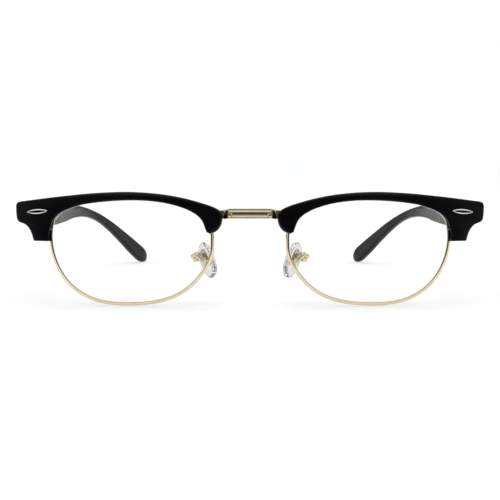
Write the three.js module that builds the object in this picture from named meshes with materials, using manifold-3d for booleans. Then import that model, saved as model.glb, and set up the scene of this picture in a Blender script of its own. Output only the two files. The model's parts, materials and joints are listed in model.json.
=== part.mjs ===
// Half rim (browline) eyeglasses, in millimetres, standing open on a table.
//
// Two metal eyewires carry the lenses. Black plastic brows clip over their upper halves and are
// screwed on from behind, a metal bridge joins the eyewires, and riveted three-barrel hinges join
// the brows to the plastic temples. Clear nose pads rock on boxes at the ends of bent pad arms.
//
// The front is drawn upright in its own frame: x to the wearer's left, y towards the wearer's
// face, z up, with the origin between the lenses. One side is drawn once, at x > 0, and mirrored
// for the other. The whole object then leans back until the rims and the temple tips stand on
// z = 0, with the origin under the middle of its box.

import * as THREE from "three";
import { mergeVertices } from "three/addons/utils/BufferGeometryUtils.js";
import Module from "manifold-3d";

const wasm = await Module();
wasm.setup();

// ---------------------------------------------------------------- driving dimensions

const LENS_X = 34.8; // lens centre, from the middle of the bridge
const WRAP = THREE.MathUtils.degToRad(4); // face form: how far each lens turns outwards
const BASE_RADIUS = 110; // radius of the lenses' front curve

const RIM_THICK = 1.05; // eyewire, across
const RIM_DEPTH = 1.9; // eyewire, front to back
const RIM_GROOVE = 0.42; // depth of the V groove that holds the lens
const RIM_GROOVE_HALF = 0.55; // half the groove's width at its mouth
const RIM_STEPS = 56;
const SPLIT_Z = 6.1; // height of the eyewire's split, between the closing blocks
const SPLIT_GAP = 0.25;

const LENS_FRONT = -0.7; // lens surfaces, measured back from the front curve
const LENS_BACK = 0.9;
const LENS_FIT = 0.12; // gap between lens and eyewire

const BROW_FRONT = 2.7; // brow's face, ahead of the front curve
const BROW_BACK = 1.6; // brow's back over the lenses, behind the front curve
const BROW_BACK_END = 2.4; // the same at the hinges
const BROW_STEPS = 44;
const REST_FLAT = 0.1; // depth of the flats that the glasses stand on
const FIT = 0.15; // clearance round pieces let into the brow

const BUTT_Y = 13.3; // plane where brow and temple meet
const BUTT_INNER = 65.85; // inner side of the brow's ear, beside the hinge
const END_BLOCK_Y = 6; // where the end block starts, inside the brow's face
const CHANNEL_BACK = 9; // back of the channel that the brow rides on, behind the front curve
const BEYOND = 20; // y past the back of everything in the brow

// Closing blocks, and the tab on the upper one that the brow is screwed to.
const BLOCK = { x1: 62.8, y0: 4.15, y1: 6.8, low: 3.6, high: 8.4, screwX: 61.55, screwY: 5.5 };
const BLOCK_INNER = { low: 59.86, split: 59.72, high: 59.6 }; // x beside the eyewire
const TAB = { x1: 64.9, y0: 7.0, y1: 7.7, z0: 6.6, screwX: 63.9, screwZ: 7.5 };
// Lug on the eyewire's back, which the brow's nasal tip is screwed to.
const LUG = {
  x0: 9.9, x1: 13.1, y0: 2.05, y1: 2.7, z0: 6.75, z1: 8.95, screwX: 10.85, screwZ: 7.85,
};
const SMALL_SCREW = { shank: 0.5, head: 0.9, headHeight: 0.5 };
const SMALL_BORE = 0.62;
const HEAD_GAP = 0.03; // under the small screws' heads
const BROW_SCREW_TEMPORAL_LENGTH = 2.7;
const BROW_SCREW_NASAL_LENGTH = 2.8;

const PIVOT = new THREE.Vector2(64.3, 13.5); // hinge pin
const HINGE_Z = 11.5; // middle of the hinge
const HINGE_LOW = HINGE_Z - 2.5;
const HINGE_TOP = HINGE_Z + 2.5;
const MIDDLE_LOW = HINGE_Z - 0.8; // the middle knuckle's ends
const MIDDLE_TOP = HINGE_Z + 0.8;
const KNUCKLE_RADIUS = 1.35;
const KNUCKLE_GAP = 0.15;
const LEAF_THICK = 0.8;
const HINGE_SEAT_Y = 9.85; // back of the brow where the front leaf is riveted
const FRONT_LEAF = { x0: 59.7, x1: BUTT_INNER - 0.2, y0: HINGE_SEAT_Y + 0.08 };
const TEMPLE_LEAF = { x0: 65.05, y0: 16.3, y1: 24.6 };
const TEMPLE_ARM = { inner: 0.5, y1: 17.2 }; // from the middle knuckle out to the leaf
const PIN_RADIUS = 0.55;
const PIN_BORE = 0.65;
const PIN_HEAD = { head: 1.1, headHeight: 0.5, slotTurn: 0.35 };

const RIVET_LENGTH = 6.4; // almond-shaped rivet plates
const RIVET_WIDTH = 1.5;
const RIVET_THICK = 0.55;
const RIVET_PIN_SPACING = 3.2;
const RIVET_PIN_RADIUS = 0.45;
const RIVET_PIN_HOLE = 0.57;
const RIVET_PROUD = 0.75; // outer side of the front rivet ahead of the brow's face
const BROW_RIVET = { x: 63.3, z: 11.42, slope: -2.5 }; // slope in degrees
const TEMPLE_RIVET = { y: 20.4, z: 11.55 };

const PAD_LENGTH = 11.5;
const PAD_WIDTH = 6.6;
const PAD_THICK = 2.0;
const PAD_UP = new THREE.Vector3(0.35, 0.36, 0.86); // along the pad, towards its top
const PAD_OUT = new THREE.Vector3(0.83, -0.56, 0); // out of its back, away from the nose
const PAD_CENTRE = new THREE.Vector3(12.7, 8.8, -3.0);
const PAD_AXIS = 3.1; // how far the pad's screw lies behind its middle
const STUD_UP = 1.45; // and above it
const STUD_HALF = 0.7;
const EYE_RADIUS = 0.78; // eye of the stud
const CHEEK_GAP = 0.12;
const CHEEK_THICK = 0.55;
const PAD_BOX_HALF = STUD_HALF + CHEEK_GAP + CHEEK_THICK;
const PAD_BOX_HEIGHT = 2.1;
const PAD_BOX_DEPTH = [-0.65, 1.35];
const PAD_PIN = { shank: 0.38, head: 0.7, headHeight: 0.42, slotTurn: 0.6 };
const PAD_PIN_BORE = 0.5;
const INSERT_LENGTH = 6.3; // the metal plate set in the pad's back
const INSERT_WIDTH = 3.2;
const INSERT_THICK = 0.55;
const INSERT_FIT = 0.15;
const INSERT_UP = 0.6; // how far its middle lies above the pad's middle
const ARM_ROOT = [12.05, 1.95, -3.7]; // where the pad arm meets the eyewire's back
const ARM_BENDS = [[12.25, 3.3, -3.75], [13.7, 4.5, -3.6]];
const ARM_RADIUS = 0.5;

// The eyewire's inner edge: [outwards from the lens centre, up].
const RIM_OUTLINE = [
  [0, 14.9], [7.5, 14.7], [13.0, 13.92], [17.1, 13.05], [20.6, 11.45], [22.4, 9.85],
  [23.22, 8.4], [23.75, 6.2], [23.87, 3.4], [23.47, 0.3], [22.55, -2.87], [20.83, -6.4],
  [18.05, -9.9], [14.1, -12.75], [9.65, -14.5], [5.0, -15.2], [0, -15.33], [-4.65, -15.05],
  [-8.75, -14.35], [-13.2, -12.77], [-17.35, -9.92], [-20.7, -6.05], [-22.65, -2.6],
  [-23.22, 1.6], [-22.8, 6.2], [-20.0, 10.5], [-14.9, 13.15], [-7.8, 14.5],
];

// Ribs of the brow from the nasal tip to the foot of the leg: [x, z] on its lower edge beside the
// lens, then [x, z] on its outer edge.
const BROW_RIBS = [
  [12.6, 5.15, 12.0, 4.85], [13.0, 5.85, 10.75, 5.05], [13.33, 6.7, 9.55, 5.8],
  [13.73, 7.78, 8.63, 7.05], [14.15, 8.58, 8.17, 8.6], [14.82, 9.45, 8.17, 10.0],
  [15.68, 10.21, 8.53, 11.1], [16.75, 10.89, 9.45, 11.97], [18.32, 11.73, 11.45, 12.93],
  [20.28, 12.48, 14.5, 13.92], [23.55, 13.42, 19.25, 15.2], [27.03, 14.05, 24.55, 16.2],
  [31.5, 14.48, 30.3, 16.83], [36.5, 14.54, 36.5, 17.1], [41.5, 14.3, 42.5, 16.97],
  [46.0, 13.87, 48.3, 16.64], [49.5, 13.33, 53.3, 16.19], [52.15, 12.57, 58.0, 15.74],
  [54.3, 11.8, 62.9, 15.2], [56.0, 10.95, 66.8, 14.76], [57.1, 10.1, 69.2, 14.44],
  [57.83, 9.35, 69.85, 14.05], [58.25, 8.75, 70.03, 13.4], [58.53, 8.2, 70.0, 12.0],
  [58.72, 7.6, 69.88, 10.3], [58.88, 7.1, 69.6, 9.05], [59.02, 6.6, 68.95, 8.4],
  [59.15, 6.1, 67.9, 8.02], [59.27, 5.6, 66.85, 7.5], [59.37, 5.0, 65.95, 6.6],
  [59.43, 4.3, 65.2, 5.35], [59.47, 3.5, 64.7, 4.0], [59.5, 2.65, 64.35, 2.65],
];

// The brow's end block behind its face, in front view: [x, z].
const END_BLOCK = [
  [57.0, 8.65], [68.4, 8.65], [69.3, 8.95], [69.75, 9.8], [69.9, 11.4], [69.95, 13.3],
  [69.55, 13.9], [67.0, 14.45], [57.0, 15.5],
];

// Bridge stations from its middle to the eyewire: [x, y, z, height, thickness].
const BRIDGE_STATIONS = [
  [0, -1.05, 10.67, 3.06, 1.7], [5.9, -1.05, 10.66, 3.04, 1.7], [6.5, -0.95, 10.62, 2.98, 1.55],
  [6.85, -0.65, 10.55, 2.88, 1.3], [7.4, 0.25, 10.48, 2.85, 1.3], [7.85, 0.94, 10.46, 2.85, 1.3],
  [9.4, 1.02, 10.46, 2.85, 1.3], [17.0, 1.02, 10.46, 2.85, 1.3],
];
// The hollow along its face, drawn in to a blunt arrow at each end: [x, z].
const BRIDGE_HOLLOW = [
  [6.2, 11.17], [5.65, 10.67], [6.2, 10.17], [-6.2, 10.17], [-5.65, 10.67], [-6.2, 11.17],
];
const BRIDGE_HOLLOW_Y = -1.5; // its floor
const BRIDGE_CORNER = 0.28;

// Temple stations from the butt to the tip: [x, y, z] of its middle, height, thickness.
const TEMPLE_STATIONS = [
  [67.95, 13.45, 11.5, 5.6, 3.9], [67.95, 22, 11.5, 5.7, 3.9], [67.95, 32, 11.5, 6.0, 3.9],
  [67.7, 45, 11.55, 6.6, 3.7], [67.05, 58, 11.8, 6.8, 3.5], [66.0, 75, 12.8, 6.1, 3.2],
  [64.5, 90, 13.92, 4.7, 2.9], [62.6, 100, 14.13, 3.75, 2.6], [60.3, 108, 13.57, 3.05, 2.5],
  [57.5, 115, 12.0, 2.85, 2.5], [54.4, 122, 9.32, 3.4, 2.5], [50.9, 130, 5.58, 4.3, 2.5],
  [47.2, 138, 1.36, 5.4, 2.5], [44.8, 143, -1.29, 5.75, 2.5],
];
const TEMPLE_TIP = [42.7, 147.2, -3.55]; // where the temple's rounded end closes
const TEMPLE_STEPS = 30;
const CORE_START = 27; // the stiffening wire's ends, as y along the temple
const CORE_END = 132;
const CORE_RADIUS = 0.5;
const CORE_BORE = 0.75;

// ---------------------------------------------------------------- materials

const finish = (color, roughness, metalness, extra = {}) =>
  new THREE.MeshStandardMaterial({ color, roughness, metalness, ...extra });
const PLASTIC = finish(0x0b0b0d, 0.35, 0);
const GOLD = finish(0xd8c48a, 0.22, 1);
const SILVER = finish(0xd9d9d6, 0.2, 1);
const STEEL = finish(0xb9b8b2, 0.3, 1);
const CLEAR_PAD = finish(0xeef2f2, 0.15, 0, { transparent: true, opacity: 0.45 });
const LENS = finish(0xf7fbfa, 0.02, 0, { transparent: true, opacity: 0.15 });

// ---------------------------------------------------------------- solids

// A closed mesh as a manifold-3d solid, and back.
function solid(geometry) {
  const bare = new THREE.BufferGeometry();
  bare.setAttribute("position", geometry.getAttribute("position"));
  if (geometry.index) bare.setIndex(geometry.index);
  const merged = mergeVertices(bare, 1e-4);
  const vertProperties = new Float32Array(merged.attributes.position.array);
  const triVerts = new Uint32Array(merged.index.array);
  const made = new wasm.Manifold(new wasm.Mesh({ numProp: 3, vertProperties, triVerts }));
  if (made.volume() >= 0) return made;
  for (let i = 0; i < triVerts.length; i += 3)
    [triVerts[i + 1], triVerts[i + 2]] = [triVerts[i + 2], triVerts[i + 1]];
  return new wasm.Manifold(new wasm.Mesh({ numProp: 3, vertProperties, triVerts }));
}

function geometryOf(made) {
  const mesh = made.getMesh();
  const geometry = new THREE.BufferGeometry();
  const positions = new Float32Array(mesh.numVert * 3);
  for (let i = 0; i < mesh.numVert; i++)
    for (let k = 0; k < 3; k++)
      positions[3 * i + k] = mesh.vertProperties[i * mesh.numProp + k];
  geometry.setAttribute("position", new THREE.BufferAttribute(positions, 3));
  geometry.setIndex(new THREE.BufferAttribute(mesh.triVerts, 1));
  geometry.computeVertexNormals();
  return geometry;
}

const join = (first, ...rest) => rest.reduce((a, b) => a.add(b), first);
const cut = (first, ...rest) => rest.reduce((a, b) => a.subtract(b), first);

// Skins a row of sections, each the same number of points in order. A closed row runs round into
// itself; an open one is capped with flat fans.
function skin(sections, closed = false) {
  const n = sections[0].length;
  const points = sections.flat();
  const index = [];
  const rows = closed ? sections.length : sections.length - 1;
  for (let i = 0; i < rows; i++) {
    const a = i * n;
    const b = ((i + 1) % sections.length) * n;
    for (let k = 0; k < n; k++) {
      const l = (k + 1) % n;
      index.push(a + k, b + k, b + l, a + k, b + l, a + l);
    }
  }
  if (!closed) {
    const last = (sections.length - 1) * n;
    for (let k = 1; k < n - 1; k++) index.push(0, k, k + 1, last, last + k + 1, last + k);
  }
  const geometry = new THREE.BufferGeometry().setFromPoints(points);
  geometry.setIndex(index);
  return solid(geometry);
}

function box(x0, x1, y0, y1, z0, z1) {
  const geometry = new THREE.BoxGeometry(x1 - x0, y1 - y0, z1 - z0);
  return solid(geometry.translate((x0 + x1) / 2, (y0 + y1) / 2, (z0 + z1) / 2));
}

// A cylinder along z, or along y or x when turned.
function rod(radius, from, to, at, axis = "z", sides = 14) {
  const geometry = new THREE.CylinderGeometry(radius, radius, to - from, sides);
  if (axis === "z") geometry.rotateX(Math.PI / 2).translate(at[0], at[1], (from + to) / 2);
  if (axis === "y") geometry.translate(at[0], (from + to) / 2, at[1]);
  if (axis === "x") geometry.rotateZ(Math.PI / 2).translate((from + to) / 2, at[0], at[1]);
  return solid(geometry);
}

// A shape drawn in front view, from y0 to y1.
function plateInFront(points, y0, y1) {
  const shape = new THREE.Shape(points.map(([x, z]) => new THREE.Vector2(x, z)));
  const geometry = new THREE.ExtrudeGeometry(shape, { depth: y1 - y0, bevelEnabled: false });
  return solid(geometry.rotateX(Math.PI / 2).translate(0, y1, 0));
}

// A slotted cheese-head screw standing on z = 0: its head above, its shank below.
function screw({ shank, length, head, headHeight, slotTurn = 0 }) {
  const rounding = headHeight * 0.3;
  const profile = [
    [0, -length], [shank * 0.7, -length], [shank, -length + shank * 0.4], [shank, 0],
    [head, 0], [head, headHeight - rounding], [head - rounding, headHeight], [0, headHeight],
  ].map(([r, h]) => new THREE.Vector2(r, h));
  const body = solid(new THREE.LatheGeometry(profile, 14).rotateX(Math.PI / 2));
  const slot = new THREE.BoxGeometry(head * 3, head * 0.28, headHeight);
  slot.rotateZ(slotTurn).translate(0, 0, headHeight * 1.05);
  return cut(body, solid(slot));
}

// ---------------------------------------------------------------- the front's curve

// How far the front curve lies behind the middle of the lens at (u outwards, z up) from it.
const sag = (u, z) => Math.tan(WRAP) * u + (u * u + z * z) / (2 * BASE_RADIUS);
const sagAtX = (x, z) => sag(x - LENS_X, z);

const rimCurve = new THREE.CatmullRomCurve3(
  RIM_OUTLINE.map(([u, z]) => new THREE.Vector3(u, 0, z)), true, "centripetal");

// A point beside the eyewire's inner edge: at share t round it, r outwards, and dy behind the
// front curve at the middle of the wire.
function besideRim(t, r, dy) {
  const wrapped = ((t % 1) + 1) % 1;
  const p = rimCurve.getPointAt(wrapped);
  const tangent = rimCurve.getTangentAt(wrapped);
  const out = new THREE.Vector3(tangent.z, 0, -tangent.x);
  if (out.dot(p) < 0) out.negate();
  const middle = p.clone().addScaledVector(out, RIM_THICK / 2);
  p.addScaledVector(out, r);
  return new THREE.Vector3(LENS_X + p.x, sag(middle.x, middle.z) + dy, p.z);
}

// The share round the eyewire at which its outer side passes the height of the split.
function splitShare() {
  let best = 0;
  let nearest = Infinity;
  for (let t = 0; t < 0.5; t += 0.0005) {
    const p = rimCurve.getPointAt(t);
    const miss = p.x > 0 ? Math.abs(p.z - SPLIT_Z) : Infinity;
    if (miss < nearest) [best, nearest] = [t, miss];
  }
  return best;
}
const SPLIT = splitShare();

// A ring swept round the eyewire's path from a section of [r, dy] points, with no split.
const ringRoundRim = (section) =>
  skin(Array.from({ length: RIM_STEPS }, (_, i) =>
    section.map(([r, dy]) => besideRim(SPLIT + i / RIM_STEPS, r, dy))), true);

// ---------------------------------------------------------------- eyewire and lens

function eyewire() {
  const half = RIM_DEPTH / 2;
  const corner = 0.25;
  const section = [
    [0, -half + 0.15], [0.15, -half], [RIM_THICK - corner, -half], [RIM_THICK, -half + corner],
    [RIM_THICK, half - corner], [RIM_THICK - corner, half], [0, half], [0, RIM_GROOVE_HALF],
    [RIM_GROOVE, 0], [0, -RIM_GROOVE_HALF],
  ];
  const halfGap = SPLIT_GAP / 2 / rimCurve.getLength();
  const stations = Array.from({ length: RIM_STEPS + 1 }, (_, i) => i / RIM_STEPS);
  stations[0] = halfGap;
  stations[RIM_STEPS] = 1 - halfGap;
  return skin(stations.map((s) => section.map(([r, dy]) => besideRim(SPLIT + s, r, dy))));
}

function lens() {
  const edge = -LENS_FIT;
  const bevelHalf = RIM_GROOVE_HALF - LENS_FIT * 1.6;
  const apex = RIM_GROOVE - LENS_FIT * 1.6;
  const rings = [
    [0.45, 0, LENS_FRONT], [0.8, 0, LENS_FRONT], [1, edge, LENS_FRONT], [1, edge, -bevelHalf],
    [1, apex, 0], [1, edge, bevelHalf], [1, edge, LENS_BACK], [0.8, 0, LENS_BACK],
    [0.45, 0, LENS_BACK],
  ];
  // Rings inside the edge follow the front curve at their own place; the edge follows the wire.
  const place = (t, [scale, r, dy]) => {
    const p = besideRim(t, r, dy);
    if (scale === 1) return p;
    const u = (p.x - LENS_X) * scale;
    return new THREE.Vector3(LENS_X + u, sag(u, p.z * scale) + dy, p.z * scale);
  };
  const points = [];
  const index = [];
  for (const ring of rings)
    for (let i = 0; i < RIM_STEPS; i++) points.push(place(SPLIT + i / RIM_STEPS, ring));
  const front = points.push(new THREE.Vector3(LENS_X, LENS_FRONT, 0)) - 1;
  const back = points.push(new THREE.Vector3(LENS_X, LENS_BACK, 0)) - 1;
  const last = (rings.length - 1) * RIM_STEPS;
  for (let i = 0; i < RIM_STEPS; i++) {
    const j = (i + 1) % RIM_STEPS;
    index.push(front, i, j, back, last + j, last + i);
    for (let a = 0; a < last; a += RIM_STEPS)
      index.push(a + i, a + RIM_STEPS + i, a + RIM_STEPS + j, a + i, a + RIM_STEPS + j, a + j);
  }
  const geometry = new THREE.BufferGeometry().setFromPoints(points);
  geometry.setIndex(index);
  return solid(geometry);
}

// ---------------------------------------------------------------- closing blocks and lugs

const blockBore = (z0, z1) => rod(SMALL_BORE, z0, z1, [BLOCK.screwX, BLOCK.screwY]);

function closingBlockLower() {
  const top = SPLIT_Z - SPLIT_GAP / 2;
  const outline = [
    [BLOCK_INNER.low, BLOCK.low], [BLOCK_INNER.split, top], [BLOCK.x1, top], [BLOCK.x1, BLOCK.low],
  ];
  const body = plateInFront(outline, BLOCK.y0, BLOCK.y1);
  return cut(body, blockBore(BLOCK.low - 1, top + 1));
}

// The upper block carries a tab that reaches outwards behind the brow's leg and is screwed to it.
function closingBlockUpper() {
  const bottom = SPLIT_Z + SPLIT_GAP / 2;
  const outline = [
    [BLOCK_INNER.split, bottom], [BLOCK_INNER.high, BLOCK.high], [BLOCK.x1, BLOCK.high],
    [BLOCK.x1, bottom],
  ];
  const body = plateInFront(outline, BLOCK.y0, TAB.y1);
  const tab = box(BLOCK.x1 - 0.5, TAB.x1, TAB.y0, TAB.y1, TAB.z0, BLOCK.high);
  return cut(join(body, tab), blockBore(bottom - 1, BLOCK.high + 1),
    rod(SMALL_BORE, TAB.y0 - 1, TAB.y1 + 1, [TAB.screwX, TAB.screwZ], "y"));
}

const nasalLug = () => cut(
  box(LUG.x0, LUG.x1, LUG.y0, LUG.y1, LUG.z0, LUG.z1),
  rod(SMALL_BORE, LUG.y0 - 1, LUG.y1 + 1, [LUG.screwX, LUG.screwZ], "y"));

// A small screw with its head on a face at y, its shank pointing forwards.
const backScrew = (x, y, z, length) =>
  screw({ ...SMALL_SCREW, length, slotTurn: 0.5 })
    .rotate([-90, 0, 0]).translate([x, y + HEAD_GAP, z]);

const browScrewTemporal = () =>
  backScrew(TAB.screwX, TAB.y1, TAB.screwZ, BROW_SCREW_TEMPORAL_LENGTH);
const browScrewNasal = () =>
  backScrew(LUG.screwX, LUG.y1, LUG.screwZ, BROW_SCREW_NASAL_LENGTH);

function rimLockScrew() {
  const length = BLOCK.high - BLOCK.low - 0.3;
  return screw({ ...SMALL_SCREW, length, slotTurn: 0.9 })
    .rotate([180, 0, 0]).translate([BLOCK.screwX, BLOCK.screwY, BLOCK.low - HEAD_GAP]);
}

// ---------------------------------------------------------------- brow

const browLower = new THREE.CatmullRomCurve3(
  BROW_RIBS.map(([x, z]) => new THREE.Vector3(x, 0, z)), false, "centripetal");
const browOuter = new THREE.CatmullRomCurve3(
  BROW_RIBS.map(([, , x, z]) => new THREE.Vector3(x, 0, z)), false, "centripetal");

function browSection(t) {
  const lower = browLower.getPoint(t);
  const outer = browOuter.getPoint(t);
  const round = Math.min(0.3, 0.5 / lower.distanceTo(outer));
  const back = THREE.MathUtils.lerp(BROW_BACK, BROW_BACK_END,
    THREE.MathUtils.smoothstep(lower.x, 48, 57));
  const at = (share, dy) => {
    const p = lower.clone().lerp(outer, share);
    return new THREE.Vector3(p.x, sagAtX(p.x, p.z) + dy, p.z);
  };
  return [
    at(0, -BROW_FRONT + 0.45), at(round, -BROW_FRONT), at(0.5, -BROW_FRONT - 0.05),
    at(1 - round, -BROW_FRONT), at(1, -BROW_FRONT + 0.5), at(1, back - 0.35),
    at(1 - round, back), at(0.5, back), at(round, back), at(0, back - 0.35),
  ];
}

// The room the brow leaves behind its face for the pieces that are let into it.
function browNotches() {
  const [, y, z, height, thick] = BRIDGE_STATIONS.at(-1);
  return [
    box(50, BUTT_INNER, HINGE_SEAT_Y, BEYOND, 5, 20),
    box(6, 18, y - thick / 2 - FIT, BEYOND, z - height / 2 - FIT, z + height / 2 + FIT),
    box(BLOCK_INNER.high - 1, BLOCK.x1 + FIT * 2, BLOCK.y0 - FIT, BEYOND,
      BLOCK.low - 1.2, BLOCK.high + FIT),
    box(BLOCK.x1 - 1, TAB.x1 + FIT, TAB.y0 - FIT, BEYOND, TAB.z0 - FIT, BLOCK.high + FIT),
    box(LUG.x0 - FIT, LUG.x1 + 1, LUG.y0 - FIT, BEYOND, LUG.z0 - FIT, LUG.z1 + FIT),
  ];
}

// A blind hole for a screw whose head rests on a face at y.
const browScrewHole = (x, y, z, length) =>
  rod(SMALL_BORE, y - length - FIT, BEYOND, [x, z], "y");

function brow() {
  const face = skin(Array.from({ length: BROW_STEPS + 1 }, (_, i) => browSection(i / BROW_STEPS)));
  const block = plateInFront(END_BLOCK, END_BLOCK_Y, BUTT_Y);
  const front = -RIM_DEPTH / 2 - FIT;
  const outside = RIM_THICK + FIT;
  const channel = ringRoundRim([
    [-1.5, front], [outside, front], [outside, CHANNEL_BACK], [-1.5, CHANNEL_BACK],
  ]);
  return cut(
    join(face, block),
    channel,
    ...browNotches(),
    browScrewHole(TAB.screwX, TAB.y1, TAB.screwZ, BROW_SCREW_TEMPORAL_LENGTH),
    browScrewHole(LUG.screwX, LUG.y1, LUG.screwZ, BROW_SCREW_NASAL_LENGTH),
    ...frontPinHoles(),
  );
}

// ---------------------------------------------------------------- rivets

// The places of a rivet's two pins along it, from its middle.
const pinPlaces = (middle) => [-1, 1].map((end) => middle + (end * RIVET_PIN_SPACING) / 2);

const frontPinHoles = () =>
  pinPlaces(BROW_RIVET.x).map((x) => rod(RIVET_PIN_HOLE, -5, 30, [x, BROW_RIVET.z], "y"));
const sidePinHoles = () =>
  pinPlaces(TEMPLE_RIVET.y).map((y) => rod(RIVET_PIN_HOLE, 50, 90, [y, TEMPLE_RIVET.z], "x"));

// An almond plate in front view, its outer side at y = 0: slightly domed, with a narrow groove
// along its middle.
function almondPlate() {
  const half = RIVET_LENGTH / 2;
  const steps = 8;
  const outline = [];
  for (const side of [1, -1])
    for (let i = 0; i < steps; i++) {
      const a = side * (-half + (RIVET_LENGTH * i) / steps);
      outline.push([a, side * (RIVET_WIDTH / 2) * Math.cos((a / half) * (Math.PI / 2)) ** 0.6]);
    }
  const shrink = (scale) => outline.map(([a, b]) => [a * (1 - (1 - scale) / 3), b * scale]);
  const ring = (points, y) => points.map(([a, b]) => new THREE.Vector3(a, y, b));
  const plate = skin([ring(outline, RIVET_THICK), ring(outline, 0.15), ring(shrink(0.6), 0)]);
  const groove = plateInFront(shrink(0.3).map(([a, b]) => [a * 0.86, b]), -1, 0.14);
  return cut(plate, groove);
}

// Front rivet: the plate on the brow's face and its two pins, back to the hinge leaf.
function browRivet() {
  const { x, z, slope } = BROW_RIVET;
  const faceY = (px) => sagAtX(px, z) - BROW_FRONT;
  const rise = faceY(x + RIVET_LENGTH / 2) - faceY(x - RIVET_LENGTH / 2);
  const turn = THREE.MathUtils.radToDeg(Math.atan2(rise, RIVET_LENGTH));
  const plate = almondPlate()
    .rotate([0, -slope, 0]).rotate([0, 0, turn])
    .translate([x, faceY(x) - RIVET_PROUD, z]);
  const backY = HINGE_SEAT_Y + LEAF_THICK + 0.35;
  const pins = pinPlaces(x).map((px) =>
    rod(RIVET_PIN_RADIUS, faceY(px) - 0.4, backY, [px, z], "y", 10));
  return join(plate, ...pins);
}

// Side rivet: the same on the temple's outer face, with pins in to the temple's hinge leaf.
function templeRivet() {
  const [middleX, , , , thick] = TEMPLE_STATIONS[0];
  const face = middleX + thick / 2;
  const { y, z } = TEMPLE_RIVET;
  const plate = almondPlate().rotate([0, 0, 90]).translate([face + RIVET_THICK + 0.05, y, z]);
  const pins = pinPlaces(y).map((py) =>
    rod(RIVET_PIN_RADIUS, TEMPLE_LEAF.x0 - 0.3, face + 0.3, [py, z], "x", 10));
  return join(plate, ...pins);
}

// ---------------------------------------------------------------- hinge

const knuckle = (z0, z1) => rod(KNUCKLE_RADIUS, z0, z1, [PIVOT.x, PIVOT.y], "z", 18);
const pinBore = () => rod(PIN_BORE, HINGE_LOW - 2, HINGE_TOP + 2, [PIVOT.x, PIVOT.y]);

function hingeFront() {
  const { x0, x1, y0 } = FRONT_LEAF;
  const y1 = y0 + LEAF_THICK;
  const leaf = box(x0, x1, y0, y1, HINGE_LOW, HINGE_TOP);
  const arms = [[HINGE_LOW, MIDDLE_LOW - KNUCKLE_GAP], [MIDDLE_TOP + KNUCKLE_GAP, HINGE_TOP]]
    .map(([z0, z1]) => join(knuckle(z0, z1),
      box(PIVOT.x - KNUCKLE_RADIUS, PIVOT.x + KNUCKLE_RADIUS, y1 - 0.3, PIVOT.y, z0, z1)));
  return cut(join(leaf, ...arms), pinBore(), ...frontPinHoles());
}

function hingeTemple() {
  const { x0, y0, y1 } = TEMPLE_LEAF;
  const leaf = box(x0, x0 + LEAF_THICK, y0, y1, HINGE_LOW, HINGE_TOP);
  const arm = box(PIVOT.x - TEMPLE_ARM.inner, x0 + LEAF_THICK, PIVOT.y, TEMPLE_ARM.y1,
    MIDDLE_LOW, MIDDLE_TOP);
  return cut(join(leaf, arm, knuckle(MIDDLE_LOW, MIDDLE_TOP)), pinBore(), ...sidePinHoles());
}

const hingeScrew = () =>
  screw({ ...PIN_HEAD, shank: PIN_RADIUS, length: HINGE_TOP - HINGE_LOW + 0.2 })
    .translate([PIVOT.x, PIVOT.y, HINGE_TOP + 0.05]);

// ---------------------------------------------------------------- temple

const templeCurve = new THREE.CatmullRomCurve3(
  TEMPLE_STATIONS.map(([x, y, z]) => new THREE.Vector3(x, y, z)), false, "centripetal");
const templeSize = new THREE.CatmullRomCurve3(
  TEMPLE_STATIONS.map(([, , , height, thick]) => new THREE.Vector3(height, thick, 0)),
  false, "centripetal");

// Directions across the temple at share t of its stations: up its height and out its thickness.
function templeAxes(t) {
  const along = templeCurve.getTangent(t);
  const up = new THREE.Vector3(0, 0, 1);
  up.addScaledVector(along, -up.dot(along)).normalize();
  const out = new THREE.Vector3().crossVectors(along, up).normalize();
  return { up, out: out.x < 0 ? out.negate() : out };
}

function templeSection(centre, axes, height, thick) {
  const h = height / 2;
  const w = thick / 2;
  const corner = Math.min(0.9, h * 0.45, w * 0.6);
  const rounded = [
    [-w + corner, -h], [w - corner, -h], [w - corner * 0.3, -h + corner * 0.3], [w, -h + corner],
    [w, h - corner], [w - corner * 0.3, h - corner * 0.3], [w - corner, h], [-w + corner, h],
    [-w + corner * 0.3, h - corner * 0.3], [-w, h - corner], [-w, -h + corner],
    [-w + corner * 0.3, -h + corner * 0.3],
  ];
  return rounded.map(([a, b]) =>
    centre.clone().addScaledVector(axes.out, a).addScaledVector(axes.up, b));
}

// The bore for the core wire, or the wire itself, as a tube along the temple's middle.
function templeTube(radius, y0, y1, sides) {
  const stations = [];
  for (let t = 0; t <= 1; t += 0.025) {
    const p = templeCurve.getPoint(t);
    if (p.y > y0 && p.y < y1) stations.push(t);
  }
  return skin(stations.map((t) => {
    const { up, out } = templeAxes(t);
    const centre = templeCurve.getPoint(t);
    return Array.from({ length: sides }, (_, k) => {
      const a = (2 * Math.PI * k) / sides;
      return centre.clone().addScaledVector(out, radius * Math.cos(a))
        .addScaledVector(up, radius * Math.sin(a));
    });
  }));
}

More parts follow.
